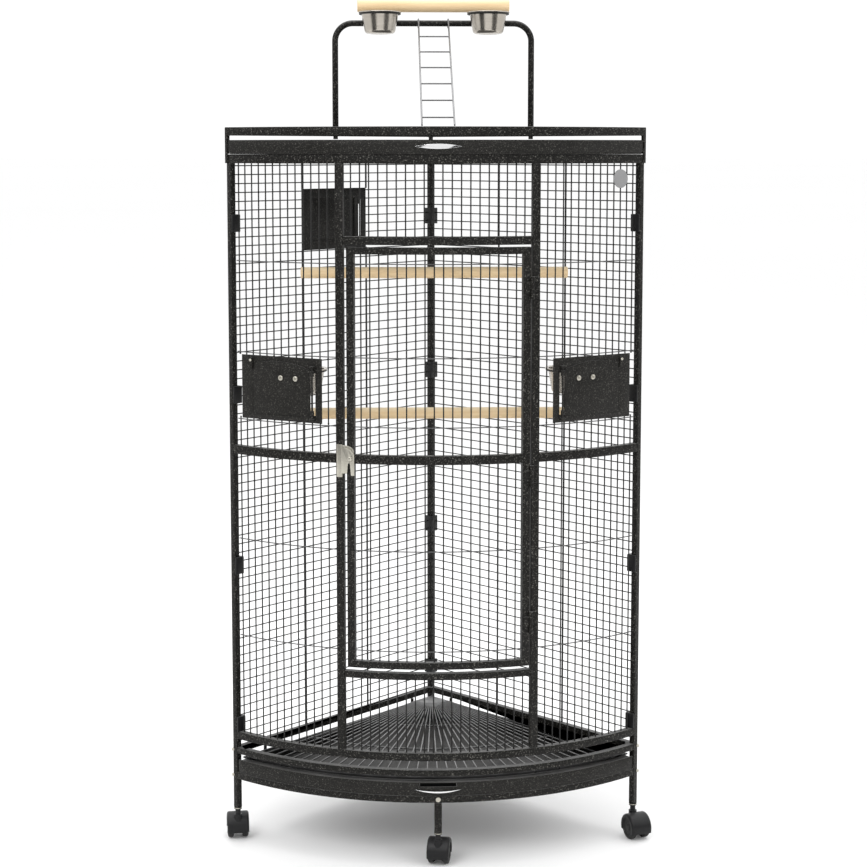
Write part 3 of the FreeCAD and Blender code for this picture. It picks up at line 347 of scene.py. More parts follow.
# ---- workshop: geometry node trees and meshes
class Workshop:
    """Makes pieces and hands them to the frame."""

    def __init__(self) -> None:
        """Build the finishes and the geometry trees."""
        effects = Effects()
        finishes = (COAT, SHEET, WIRE, PAINTED_HIGHLIGHT_WIRE, GRATE, RECESS_SHADE, LADDER, PINE, STAINLESS, BRIGHT, ZINC, NYLON,
                    TREAD, DISC)
        self.materials = {f.name: f.make(effects) for f in finishes}
        self.sweep_tree = self.build_sweep_tree()
        self.dab_tree = self.build_dab_tree()
        self.fastener_tree = self.build_fastener_tree()

    @staticmethod
    def end_tree(g: Graph, shape: Node, source: Node, sink: Node) -> NodeTree:
        """Realize, smooth and dress the result of a geometry tree, then put it out.

        Args:
            g: the graph.
            shape: node whose first output is the result.
            source: group input, which has the Finish.
            sink: group output.

        Returns:
            The finished tree.
        """
        real = g.add("GeometryNodeRealizeInstances", in_0=(shape, 0))
        smooth = g.add("GeometryNodeSetShadeSmooth", in_0=(real, 0))
        dress = g.add("GeometryNodeSetMaterial", in_Geometry=(smooth, 0), in_Material=(source, "Finish"))
        g.join(dress, 0, sink, 0)
        return g.tree

    def build_sweep_tree(self) -> NodeTree:
        """Sweep a round section along every run of edges.

        Returns:
            A tree with the inputs Radius, Sides and Finish.
        """
        g, source, sink = open_group(
            "wire_sweep", "GeometryNodeTree",
            {"Geometry": GEOMETRY, "Radius": 0.001, "Sides": 10.0, "Finish": MATERIAL},
            {"Geometry": GEOMETRY})
        line = g.add("GeometryNodeMeshToCurve", in_0=(source, "Geometry"))
        section = g.add("GeometryNodeCurvePrimitiveCircle", in_Radius=(source, "Radius"),
                        in_Resolution=(source, "Sides"))
        skin = g.add("GeometryNodeCurveToMesh", in_Fill_Caps=True, in_Curve=(line, 0), in_Profile_Curve=(section, 0))
        return self.end_tree(g, skin, source, sink)

    def build_dab_tree(self) -> NodeTree:
        """Put a small uneven weld dab on every point.

        Returns:
            A tree with the inputs Radius and Finish.
        """
        g, source, sink = open_group(
            "weld_dabs", "GeometryNodeTree", {"Geometry": GEOMETRY, "Radius": 0.0015, "Finish": MATERIAL},
            {"Geometry": GEOMETRY})
        points = g.add("GeometryNodeMeshToPoints", in_0=(source, "Geometry"))
        ball = g.add("GeometryNodeMeshIcoSphere", in_Subdivisions=2, in_Radius=(source, "Radius"))
        vary = g.add("FunctionNodeRandomValue", data_type="FLOAT_VECTOR", in_Min=(0.8, 0.8, 0.7),
                     in_Max=(1.2, 1.2, 1.1), in_Seed=7)
        place = g.add("GeometryNodeInstanceOnPoints", in_Points=(points, 0), in_Instance=(ball, 0),
                      in_Scale=(vary, 0))
        return self.end_tree(g, place, source, sink)

    def build_fastener_tree(self) -> NodeTree:
        """Put a copy of one fastener on every point, turned to the point's facing.

        Returns:
            A tree with the inputs Size, Fastener and Finish.
        """
        g, source, sink = open_group(
            "fasteners", "GeometryNodeTree",
            {"Geometry": GEOMETRY, "Size": 1.0, "Fastener": OBJECT, "Finish": MATERIAL},
            {"Geometry": GEOMETRY})
        points = g.add("GeometryNodeMeshToPoints", in_0=(source, "Geometry"))
        pattern = g.add("GeometryNodeObjectInfo", in_Object=(source, "Fastener"))
        facing = g.add("GeometryNodeInputNamedAttribute", data_type="FLOAT_VECTOR", in_Name="facing")
        turn = g.add("FunctionNodeAlignRotationToVector", axis="Z", in_Vector=(facing, "Attribute"))
        place = g.add("GeometryNodeInstanceOnPoints", in_Points=(points, 0), in_Instance=(pattern, "Geometry"),
                      in_Rotation=(turn, 0), in_Scale=(source, "Size"))
        return self.end_tree(g, place, source, sink)

    @staticmethod
    def new_object(name: str, verts: list[Vector], edges: list[tuple[int, int]] | None = None,
                   faces: list[list[int]] | None = None) -> Thing:
        """Make a mesh object at the origin.

        Args:
            name: piece name.
            verts: places of the vertices.
            edges: pairs of vertices.
            faces: vertex loops.

        Returns:
            The object.
        """
        mesh = bpy.data.meshes.new(name)
        mesh.from_pydata([tuple(v) for v in verts], edges or [], faces or [])
        thing = bpy.data.objects.new(name, mesh)
        bpy.context.scene.collection.objects.link(thing)
        return thing

    @staticmethod
    def settle(thing: Thing) -> Thing:
        """Turn the modifiers' result into the object's own plain mesh.

        Args:
            thing: the object.

        Returns:
            The same object without modifiers.
        """
        graph = bpy.context.evaluated_depsgraph_get()
        mesh = bpy.data.meshes.new_from_object(thing.evaluated_get(graph), preserve_all_data_layers=True,
                                               depsgraph=graph)
        thing.modifiers.clear()
        thing.data = mesh
        return thing

    def grow(self, thing: Thing, tree: NodeTree, finish: Finish, **inputs: object) -> Thing:
        """Run a geometry tree on an object and keep the result.

        Args:
            thing: object whose mesh goes in.
            tree: the geometry tree.
            finish: finish that the tree dresses the result in.
            inputs: its other values by input name.

        Returns:
            The same object with its new mesh.
        """
        modifier = thing.modifiers.new(tree.name, "NODES")
        modifier.node_group = tree
        sockets = {s.name: s.identifier for s in tree.interface.items_tree if s.in_out == "INPUT"}
        for name, value in {**inputs, "Finish": self.materials[finish.name]}.items():
            modifier[sockets[name]] = value
        thing.update_tag()
        return self.settle(thing)

    def hand_over(self, thing: Thing, body: str, finish: Finish, nodes: tuple[str, ...] = ()) -> None:
        """Dress a finished piece and give it to its body.

        Args:
            thing: the piece.
            body: CAD body it rides on.
            finish: its finish.
            nodes: CAD nodes it stands for.
        """
        thing.data.materials.clear()
        thing.data.materials.append(self.materials[finish.name])
        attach(thing, body)
        if nodes:
            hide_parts(*nodes)
        LOG.info("%s on %s: %d faces", thing.name, body, len(thing.data.polygons))

    def softened(self, node: str, finish: Finish, width: float, segments: int = 2,
                 keep: Callable[[Vector], bool] = lambda place: True,
                 shape: Callable[[Vector], Vector] = lambda place: place) -> None:
        """Stand a copy of a CAD solid with rounded edges in its place.

        Args:
            node: the CAD node.
            finish: finish of the copy.
            width: width of the rounded edge, in metres.
            segments: facets across it.
            keep: says of a vertex whether it is copied; it has to part the node between its solids.
            shape: moves a vertex of the copy before the edges are rounded.
        """
        source = frame["nodes"][node]
        bm = bmesh.new()
        bm.from_mesh(source.data)
        bmesh.ops.delete(bm, geom=[v for v in bm.verts if not keep(v.co)], context="VERTS")
        for vertex in bm.verts:
            vertex.co = shape(vertex.co)
        bmesh.ops.remove_doubles(bm, verts=bm.verts, dist=SAME_PLACE)
        bmesh.ops.dissolve_limit(bm, angle_limit=FLAT_ANGLE, verts=bm.verts, edges=bm.edges)
        thing = self.new_object("%s_%s" % (node, finish.name), [])
        bm.to_mesh(thing.data)
        bm.free()
        thing.data.shade_smooth()
        round_over = thing.modifiers.new("round_over", "BEVEL")
        round_over.width = width
        round_over.segments = segments
        round_over.limit_method = "ANGLE"
        round_over.angle_limit = ROUND_ANGLE
        round_over.harden_normals = True
        self.settle(thing)
        self.hand_over(thing, source["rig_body"], finish, (node,))

    def turned(self, name: str, outline: Outline, centre: Vector, axis: Vector, steps: int = 48) -> Thing:
        """Turn an outline about an axis.

        Args:
            name: piece name.
            outline: (radius, height along the axis) from pole to pole; a radius of 0 closes at the axis.
            centre: where height 0 is.
            axis: direction of the axis.
            steps: facets round the axis.

        Returns:
            The closed object.
        """
        bm = bmesh.new()
        aim = axis.normalized().to_track_quat("Z", "Y").to_matrix()
        rows: list[list[bmesh.types.BMVert]] = []
        for radius, height in outline:
            angles = [2 * pi * i / steps for i in range(1 if radius < NEAR_AXIS else steps)]
            rows.append([bm.verts.new(centre + aim @ Vector((radius * cos(a), radius * sin(a), height)))
                         for a in angles])
        for low, high in zip(rows, rows[1:]):
            for i in range(steps):
                j = (i + 1) % steps
                loop = [low[i % len(low)], low[j % len(low)], high[j % len(high)], high[i % len(high)]]
                distinct = list(dict.fromkeys(loop))
                if len(distinct) > 2:
                    bm.faces.new(distinct)
        bmesh.ops.recalc_face_normals(bm, faces=bm.faces)
        thing = self.new_object(name, [])
        bm.to_mesh(thing.data)
        bm.free()
        thing.data.shade_smooth()
        thing.data.set_sharp_from_angle(angle=SHARP_ANGLE)
        return thing

    def merged(self, name: str, things: list[Thing]) -> Thing:
        """Join several objects into one mesh.

        Args:
            name: name of the result.
            things: objects at the origin; they are removed.

        Returns:
            The joined object.
        """
        bm = bmesh.new()
        for thing in things:
            bm.from_mesh(thing.data)
            bpy.data.objects.remove(thing)
        result = self.new_object(name, [])
        bm.to_mesh(result.data)
        bm.free()
        return result

    def fasteners(self, name: str, body: str, outline: Outline, places: list[tuple[Vector, Vector]],
                  finish: Finish) -> None:
        """Put the same turned fastener at several places.

        Args:
            name: piece name.
            body: CAD body it rides on.
            outline: (radius, height) of the fastener, from pole to pole.
            places: (place, facing) of each.
            finish: their finish.
        """
        pattern = self.turned(name + "_pattern", outline, Vector(), UP, 20)
        points = self.new_object(name, [p for p, _ in places])
        facing = points.data.attributes.new("facing", "FLOAT_VECTOR", "POINT")
        facing.data.foreach_set("vector", [c for _, f in places for c in f.normalized()])
        self.grow(points, self.fastener_tree, finish, Fastener=pattern)
        bpy.data.objects.remove(pattern)
        points.data.set_sharp_from_angle(angle=SHARP_ANGLE)
        self.hand_over(points, body, finish)

    def dabs(self, name: str, body: str, places: list[Vector], radius: float, finish: Finish) -> None:
        """Put a weld dab at every place.

        Args:
            name: piece name.
            body: CAD body it rides on.
            places: where the dabs are.
            radius: mean radius of a dab.
            finish: their finish.
        """
        points = self.new_object(name, places)
        self.grow(points, self.dab_tree, finish, Radius=radius)
        self.hand_over(points, body, finish)


# ---- centre lines of the CAD wires
@dataclass
class Run:
    """Centre line of one wire, straight or bent along the front curve."""

    points: list[Vector]
    radius: float

    @property
    def bent(self) -> bool:
        """True for a wire that follows the curve."""
        return len(self.points) > 2


class Centrelines:
    """Reads wire centre lines from the CAD nodes."""

    def __init__(self) -> None:
        """Find the axis of the front curve from the posts and the front leg."""
        low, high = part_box("corner_posts")
        leg_low, leg_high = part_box("front_leg")
        self.post_y = low.y + (leg_high.x - leg_low.x) / sqrt(2)
        self.half_chord = high.x - (leg_high.x - leg_low.x) / sqrt(2)
        self.front_y = (leg_low.y + leg_high.y) / 2
        sagitta = self.post_y - self.front_y
        self.radius = (self.half_chord ** 2 + sagitta ** 2) / (2 * sagitta)
        self.arc_y = self.front_y + self.radius

    def on_front(self, angle: float, z: float, out: float = 0.0) -> Vector:
        """Point on the front curve at a plan angle, out beyond it."""
        reach = self.radius + out
        return Vector((reach * sin(angle), self.arc_y - reach * cos(angle), z))

    @staticmethod
    def islands(mesh: bpy.types.Mesh) -> list[np.ndarray]:
        """Split a mesh into loose parts.

        Args:
            mesh: the mesh, whose doubles may be unmerged.

        Returns:
            One array of distinct vertex places for each part.
        """
        places = [tuple(round(c, 6) for c in v.co) for v in mesh.vertices]
        index: dict[tuple[float, ...], int] = {}
        which = [index.setdefault(p, len(index)) for p in places]
        parent = list(range(len(index)))

        def root(i: int) -> int:
            """Head of a vertex's part."""
            while parent[i] != i:
                parent[i] = parent[parent[i]]
                i = parent[i]
            return i

        for a, b in (e.vertices for e in mesh.edges):
            parent[root(which[a])] = root(which[b])
        parts: dict[int, list[tuple[float, ...]]] = {}
        for place, i in index.items():
            parts.setdefault(root(i), []).append(place)
        return [np.array(p) for p in parts.values()]

    def read(self, node: str) -> list[Run]:
        """Centre line of every wire of a node.

        Args:
            node: a CAD node made of separate round wires.

        Returns:
            The runs.
        """
        runs = []
        for part in self.islands(frame["nodes"][node].data):
            middle = part.mean(0)
            along = np.linalg.svd(part - middle)[2][0]
            t = (part - middle) @ along
            start = part[t < t.min() + END_SLICE].mean(0)
            end = part[t > t.max() - END_SLICE].mean(0)
            line = (end - start) / np.linalg.norm(end - start)
            off = part - start
            away = np.linalg.norm(off - np.outer(off @ line, line), axis=1)
            rise = np.ptp(part[:, 2])
            if rise > LEVEL_RISE or away.max() < BENT_SHARE * rise:
                runs.append(Run([Vector(start), Vector(end)], float(np.median(away))))
                continue
            bend = np.arctan2(part[:, 0], self.arc_y - part[:, 1])
            reach = np.hypot(part[:, 0], self.arc_y - part[:, 1])
            mid_reach, mid_z = (reach.min() + reach.max()) / 2, (part[:, 2].min() + part[:, 2].max()) / 2
            points = [Vector((mid_reach * sin(a), self.arc_y - mid_reach * cos(a), mid_z))
                      for a in np.linspace(bend.min(), bend.max(), BEND_POINTS)]
            runs.append(Run(points, float(rise / 2)))
        return runs

    @staticmethod
    def crossings(runs: list[Run]) -> list[Vector]:
        """Where wires touch each other.

        Args:
            runs: centre lines of one panel.

        Returns:
            A point between the two wires at each crossing.
        """
        found = []
        for i, one in enumerate(runs):
            for other in runs[i + 1:]:
                for a, b in zip(one.points, one.points[1:]):
                    for c, d in zip(other.points, other.points[1:]):
                        hit = intersect_line_line(a, b, c, d)
                        if not hit or (hit[0] - hit[1]).length > TOUCH_SHARE * (one.radius + other.radius):
                            continue
                        on_one = 0 <= (hit[0] - a).dot(b - a) < (b - a).length_squared
                        if on_one and 0 <= (hit[1] - c).dot(d - c) < (d - c).length_squared:
                            found.append((hit[0] + hit[1]) / 2)
        return found


def joint(name: str) -> dict:
    """Joint of the CAD frame with a given name."""
    return next(j for j in frame["joints"] if j["name"] == name)


# ---- sub-assemblies
@dataclass
class Assembly:
    """A sub-assembly of the cage, with the workshop and the centre lines it is built from."""

    shop: Workshop
    lines: Centrelines


@dataclass
class FrameWork(Assembly):
    """Square tube frame: posts, rings, rails and door posts."""

    edge: float = 0.0014
    connector_edge: float = 0.0012
    seam_points: int = 9
    seam_radius: float = 0.0016
    seam_out: float = 0.0062
    sill_depth: float = 0.0145
    header_depth: float = 0.017
    members: tuple[str, ...] = ("corner_posts", "front_leg", "base_lower_ring", "base_upper_ring", "cage_top_ring",
                                "roof_ring", "front_bottom_rail", "front_mid_rails", "door_posts",
                                "door_sill_and_header", "door_frame")

    def build(self) -> None:
        """Round the tubes over and weld them."""
        for node in self.members:
            self.shop.softened(node, COAT, self.edge, 3)
        self.shop.softened("panel_connectors", NYLON, self.connector_edge)
        self.weld()

    def weld(self) -> None:
        """Lay short weld seams where the sill and the header meet the door posts."""
        sill_low, header_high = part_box("door_sill_and_header")
        half = asin(header_high.x / self.lines.radius)
        spans = ((sill_low.z, self.sill_depth), (header_high.z - self.header_depth, self.header_depth))
        seams = [self.lines.on_front(sign * half, z + depth * k / (self.seam_points - 1), self.seam_out)
                 for z, depth in spans for sign in (-1, 1) for k in range(self.seam_points)]
        self.shop.dabs("rail_weld_seams", "root", seams, self.seam_radius, COAT)


@dataclass
class WireWork(Assembly):
    """Every wire panel, swept along the CAD centre lines."""

    panels: dict[str, int] = field(default_factory=lambda: {
        "back_wires_right": 8, "back_wires_left_lower": 8, "back_wires_left_upper": 8, "back_wires_left_sides": 8,
        "front_wires_left_upper": 10, "front_wires_left_lower": 10, "front_wires_right_upper": 10,
        "front_wires_right_lower": 10, "front_wires_feeder_sides": 10, "front_wires_over_door": 10,
        "front_wires_under_door": 10, "roof_grille": 8, "door_wires": 10})
    end_reach: float = 0.0007
    dab_share: float = 1.25

    def build(self) -> None:
        """Sweep the panels and weld their crossings and ends."""
        for node, sides in self.panels.items():
            body = frame["nodes"][node]["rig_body"]
            runs = self.lines.read(node)
            by_radius: dict[tuple[int, bool], list[Run]] = {}
            for run in runs:
                by_radius.setdefault((round(run.radius * 1e4), run.bent), []).append(run)
            for k, ((_, bent), some) in enumerate(sorted(by_radius.items())):
                # Curved cross wires take the lighter copy of the wire coat, as painted highlight.
                finish = PAINTED_HIGHLIGHT_WIRE if bent else WIRE
                thing = self.sweep("%s_%d" % (node, k), some, sides, finish)
                self.shop.hand_over(thing, body, finish, (node,))
            ends = [p for r in runs if not r.bent for p in (r.points[0], r.points[-1])]
            places = self.lines.crossings(runs) + ends
            self.shop.dabs(node + "_welds", body, places, self.dab_share * runs[0].radius, WIRE)

    def sweep(self, name: str, runs: list[Run], sides: int, finish: Finish) -> Thing:
        """Sweep runs of one radius into one mesh.

        Args:
            name: piece name.
            runs: centre lines of the wires.
            sides: facets round a wire.
            finish: finish of the wires.

        Returns:
            The swept object.
        """
        verts: list[Vector] = []
        edges: list[tuple[int, int]] = []
        for run in runs:
            start = len(verts)
            ahead = (run.points[1] - run.points[0]).normalized() * self.end_reach
            behind = (run.points[-1] - run.points[-2]).normalized() * self.end_reach
            verts += [run.points[0] - ahead, *run.points[1:-1], run.points[-1] + behind]
            edges += [(i, i + 1) for i in range(start, len(verts) - 1)]
        thing = self.shop.new_object(name, verts, edges)
        radius = sum(r.radius for r in runs) / len(runs)
        return self.shop.grow(thing, self.shop.sweep_tree, finish, Radius=radius, Sides=float(sides))


@dataclass
class Feeders(Assembly):
    """Hatch plates, swing flaps, cup rings and steel cups."""

    rim_roll: float = 0.0011
    sheet_edge: float = 0.0004
    wire_edge: float = 0.0003
    feeder_cup: Pair = (0.044, 0.037)
    play_cup: Pair = (0.0395, 0.033)
    foot_round: float = 0.008
    foot_rise: float = 0.0012
    angle: float = radians(29.1)
    rod_along: float = 0.075
    screws_along: Pair = (0.0, 0.035)
    screw_rise: float = 0.0225
    screw_sink: float = 0.0022
    catch_along: float = -0.0705
    catch_out: float = 0.0006
    catch_rise: float = 0.0555

    def build(self) -> None:
        """Round the sheet parts over and turn the cups."""
        for name in ("left", "right", "rear"):
            self.shop.softened("feeder_plate_" + name, SHEET, self.sheet_edge)
            self.shop.softened("feeder_flap_" + name, SHEET, self.sheet_edge)
        for name in ("left", "right"):
            self.shop.softened("cup_ring_" + name, WIRE, self.wire_edge)
            self.cup("feeder_cup_" + name, *self.feeder_cup)
            self.cup("play_cup_" + name, *self.play_cup)
            self.fittings(name)
        self.shop.softened("play_cup_rings", WIRE, self.wire_edge)

    def cup(self, node: str, wall: float, base: float) -> None:
        """Turn one steel cup with a rolled rim.

        Args:
            node: CAD node of the cup.
            wall: radius under the rim.
            base: radius of the foot.
        """
        low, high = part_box(node)
        rim, tall = (high.x - low.x) / 2, high.z - low.z
        roll, foot, rise = self.rim_roll, self.foot_round, self.foot_rise
        outline = [(0.0, rise), (base * 0.55, rise), (base * 0.62, 0.0), (base - foot, 0.0)]
        outline += [(base - foot + foot * sin(a), foot - foot * cos(a)) for a in (0.4, 0.8, 1.2, 1.5)]
        outline += [(wall - 0.0006, tall - 0.006), (wall, tall - 0.003), (wall + 0.0012, tall - 0.002)]
        outline += [(rim - roll + roll * cos(a), tall - roll + roll * sin(a))
                    for a in (-1.5, -0.8, 0.0, 0.8, 1.5)]
        outline += [(wall + 0.001, tall - 0.0006), (wall - 0.001, tall - 0.0016), (wall - 0.0016, tall - 0.006)]
        outline += [(base - 0.001, 0.01), (base - 0.004, 0.004), (base - 0.01, rise + 0.001), (0.0, 0.0024)]
        centre = Vector(((low.x + high.x) / 2, (low.y + high.y) / 2, low.z))
        thing = self.shop.turned(node + "_bowl", outline, centre, UP, 64)
        self.shop.hand_over(thing, frame["nodes"][node]["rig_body"], STAINLESS, (node,))

    def fittings(self, name: str) -> None:
        """Dress the bracket screws on a flap and the stud on its catch.

        Args:
            name: side of the feeder.
        """
        sign = -1 if name == "left" else 1
        hinge = Vector(joint("feeder_hatch_" + name)["pos_m"])
        facing = Vector((sign * sin(self.angle), -cos(self.angle), 0.0))
        inward = Vector((-sign * cos(self.angle), -sin(self.angle), 0.0))
        screws = [hinge + inward * (x - self.rod_along) + facing * -self.screw_sink + UP * self.screw_rise
                  for x in self.screws_along]
        heads = [(place, facing) for place in screws]
        self.shop.fasteners("cup_screws_" + name, "feeder_door_" + name, SCREW_HEAD, heads, ZINC)
        catch = hinge + inward * (self.catch_along - self.rod_along) + facing * self.catch_out + UP * self.catch_rise
        self.shop.fasteners("catch_stud_" + name, "root", CATCH_STUD, [(catch, facing)], ZINC)


@dataclass
class Door(Assembly):
    """Hinges and latch of the main door."""

    edge: float = 0.0003
    latch_edge: float = 0.0004
    plate_thickness: float = 0.0016
    plate_stand: float = 0.0001
    pin_stand: float = 0.0062

    def build(self) -> None:
        """Round the hardware over and add the plate behind the latch."""
        self.shop.softened("door_hardware", ZINC, self.edge, keep=lambda place: place.x < 0)
        self.shop.softened("door_hardware", COAT, self.edge, keep=lambda place: place.x > 0)
        self.shop.softened("door_latch", ZINC, self.latch_edge)
        self.back_plate()

    def back_plate(self) -> None:
        """Set the plate behind the turning latch and the cap on its pin."""
        hinge = joint("latch_turn")
        pin, out = Vector(hinge["pos_m"]), Vector(hinge["axis"])
        side = Vector((-out.y, out.x, 0.0)).normalized()
        verts = [pin + side * x + Vector((0, 0, z)) + out * (self.plate_stand + t)
                 for t in (0.0, self.plate_thickness) for x, z in BACK_PLATE]
        n = len(BACK_PLATE)
        faces = [list(range(n))[::-1], list(range(n, 2 * n))]
        faces += [[i, (i + 1) % n, n + (i + 1) % n, n + i] for i in range(n)]
        thing = self.shop.new_object("latch_stile_plate", verts, None, faces)
        round_over = thing.modifiers.new("round_over", "BEVEL")
        round_over.width = self.latch_edge
        round_over.segments = 2
        self.shop.settle(thing)
        self.shop.hand_over(thing, "main_door", ZINC)
        self.shop.fasteners("latch_pin_cap", "main_door", PIN_CAP, [(pin + out * self.pin_stand, out)], ZINC)


@dataclass
class PlayTop(Assembly):
    """Arch, ladder, dowels and tag."""

    arch_edge: float = 0.0006
    ladder_edge: float = 0.0002
    tag_edge: float = 0.0006
    rung_span: float = 0.05
    rung_bead: float = 0.0019
    ease: float = 0.0016

    def build(self) -> None:
        """Make the parts of the play top and the dowels inside."""
        self.shop.softened("play_arch", COAT, self.arch_edge)
        self.shop.softened("ladder", LADDER, self.ladder_edge)
        parts = Centrelines.islands(frame["nodes"]["ladder"].data)
        rungs = [p for p in parts if np.ptp(p[:, 0]) > self.rung_span]
        ends = [Vector((x, *p.mean(0)[1:])) for p in rungs for x in (p[:, 0].min(), p[:, 0].max())]
        self.shop.dabs("ladder_weld_beads", "ladder", ends, self.rung_bead, LADDER)
        self.shop.softened("tag_disc", DISC, self.tag_edge)
        self.dowels("play_perch")
        self.dowels("inner_perches")

    def dowels(self, node: str) -> None:
        """Turn dowels with eased ends.

        Args:
            node: CAD node of the dowels, which lie across.
        """
        things = []
        ease = self.ease
        for k, part in enumerate(Centrelines.islands(frame["nodes"][node].data)):
            low, high = Vector(part.min(0)), Vector(part.max(0))
            radius, long = (high.z - low.z) / 2, high.x - low.x
            tip = [(0.0, 0.0), (radius - ease, 0.0), (radius - ease * 0.3, ease * 0.3), (radius, ease)]
            outline = tip + [(radius, long * f) for f in (0.25, 0.5, 0.75)]
            outline += [(r, long - z) for r, z in reversed(tip)]
            centre = Vector((low.x, (low.y + high.y) / 2, (low.z + high.z) / 2))
            things.append(self.shop.turned("%s_%d" % (node, k), outline, centre, Vector((1, 0, 0)), 56))
        thing = self.shop.merged(node + "_dowels", things)
        self.shop.hand_over(thing, "root", PINE, (node,))


@dataclass
class Trays(Assembly):
    """Sliding trays, their pulls, the runners and the floor grate."""

    sheet_edge: float = 0.0004
    runner_edge: float = 0.0003
    grate_edge: float = 0.0002
    pull_edge: float = 0.0009
    crescent_edge: float = 0.0005
    pull_hollow: float = 0.35
    recess_half: float = 0.037
    recess_out: float = 0.004
    recess_lip: float = 0.002
    recess_back: float = 0.007
    recess_rise: Pair = (0.0182, 0.0265)
    recess_points: int = 13
    recess_wall: float = 0.0006

    def build(self) -> None:
        """Round the sheet work over, hollow the lower pull and hang painted shade in the finger recess."""
        for node in ("roof_tray", "base_tray"):
            self.shop.softened(node, SHEET, self.sheet_edge)
        low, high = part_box("base_tray_handle")
        middle = (low.z + high.z) / 2

        def crescent(place: Vector) -> Vector:
            """Bring the upper edge of the lower pull down below its middle."""
            drop = max(0.0, place.z - middle) * (1 + self.pull_hollow)
            return Vector((place.x, place.y, place.z - drop))

        self.shop.softened("roof_tray_handle", BRIGHT, self.pull_edge, 3)
        self.shop.softened("base_tray_handle", BRIGHT, self.crescent_edge, 2, shape=crescent)
        self.shop.softened("grate_runners", SHEET, self.runner_edge)
        self.shop.softened("floor_grate", GRATE, self.grate_edge, 1)
        self.recess()

    def recess(self) -> None:
        """Hang a near-black curved sheet behind the finger slot of the base tray: painted shade in the recess."""
        floor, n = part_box("base_tray")[0].z, self.recess_points
        reach = asin(self.recess_half / self.lines.radius)
        (low, high), lip, back = self.recess_rise, self.recess_lip, self.recess_back
        section = ((low, lip), (low, back), (high, back), (high, lip))
        verts = [self.lines.on_front(a, floor + z, self.recess_out - depth)
                 for z, depth in section for a in np.linspace(-reach, reach, n)]
        faces = [[k * n + i, k * n + i + 1, (k + 1) * n + i + 1, (k + 1) * n + i]
                 for k in range(len(section) - 1) for i in range(n - 1)]
        # This sheet stands for the shade inside the finger recess: painted shade.
        thing = self.shop.new_object("finger_recess_liner", verts, None, faces)
        wall = thing.modifiers.new("wall", "SOLIDIFY")
        wall.thickness = self.recess_wall
        wall.offset = 0.0
        self.shop.settle(thing)
        self.shop.hand_over(thing, "base_tray", RECESS_SHADE)


@dataclass
class Casters(Assembly):
    """Four twin-wheel casters."""

    bolt_edge: float = 0.0004
    hood_edge: float = 0.001
    wheel: float = 0.025
    width: float = 0.0125
    split: float = 0.009
    shoulder: float = 0.0045
    groove: float = 0.0006
    dish: float = 0.0022
    axle: float = 0.003
    axle_past: float = 0.001

    def build(self) -> None:
        """Round the hoods over and turn the wheels."""
        self.shop.softened("frame_bolts", ZINC, self.bolt_edge, keep=lambda place: place.z < 1)
        self.shop.softened("frame_bolts", COAT, self.bolt_edge, keep=lambda place: place.z > 1)
        for name in ("left", "right", "front", "rear"):
            self.shop.softened("caster_yoke_" + name, NYLON, self.hood_edge, 3)
            self.wheels(name)
            foot = Vector(joint("caster_swivel_" + name)["pos_m"])
            washer = self.shop.turned("caster_washer_" + name, WASHER, foot, UP, 32)
            self.shop.hand_over(washer, "caster_yoke_" + name, ZINC)

    def wheels(self, name: str) -> None:
        """Turn the two tyres and the axle of one caster.

        Args:
            name: place of the caster.
        """
        roll = joint("caster_roll_" + name)
        centre, axis = Vector(roll["pos_m"]), Vector(roll["axis"])
        r, w, s, cut, end = self.wheel, self.width, self.split, self.groove, self.split + self.axle_past
        round_in = [(r - self.shoulder * (1 - sin(a)), s + self.shoulder * (1 - cos(a)))
                    for a in np.linspace(0.0, pi / 2, 6)]
        round_out = [(x, 2 * s + w - z) for x, z in reversed(round_in)]
        outline = [(0.0, s + cut), (r * 0.62, s + cut), (r * 0.66, s), *round_in,
                   (r, s + w * 0.5 - cut), (r - cut, s + w * 0.5), (r, s + w * 0.5 + cut), *round_out,
                   (r * 0.72, s + w), (r * 0.66, s + w - self.dish), (r * 0.3, s + w - self.dish),
                   (r * 0.26, s + w - 0.0004), (r * 0.1, s + w), (0.0, s + w)]
        axle = [(0.0, -end), (self.axle, -end), (self.axle, end), (0.0, end)]
        things = [self.shop.turned("wheel", outline, centre, way, 56) for way in (axis, -axis)]
        things.append(self.shop.turned("axle", axle, centre, axis, 20))
        thing = self.shop.merged("caster_wheels_%s_turned" % name, things)
        self.shop.hand_over(thing, "caster_wheels_" + name, TREAD, ("caster_wheels_" + name,))


@dataclass(frozen=True)
class Lamp:
    """One soft square light."""

    name: str
    place: Triple
    size: float
    power: float


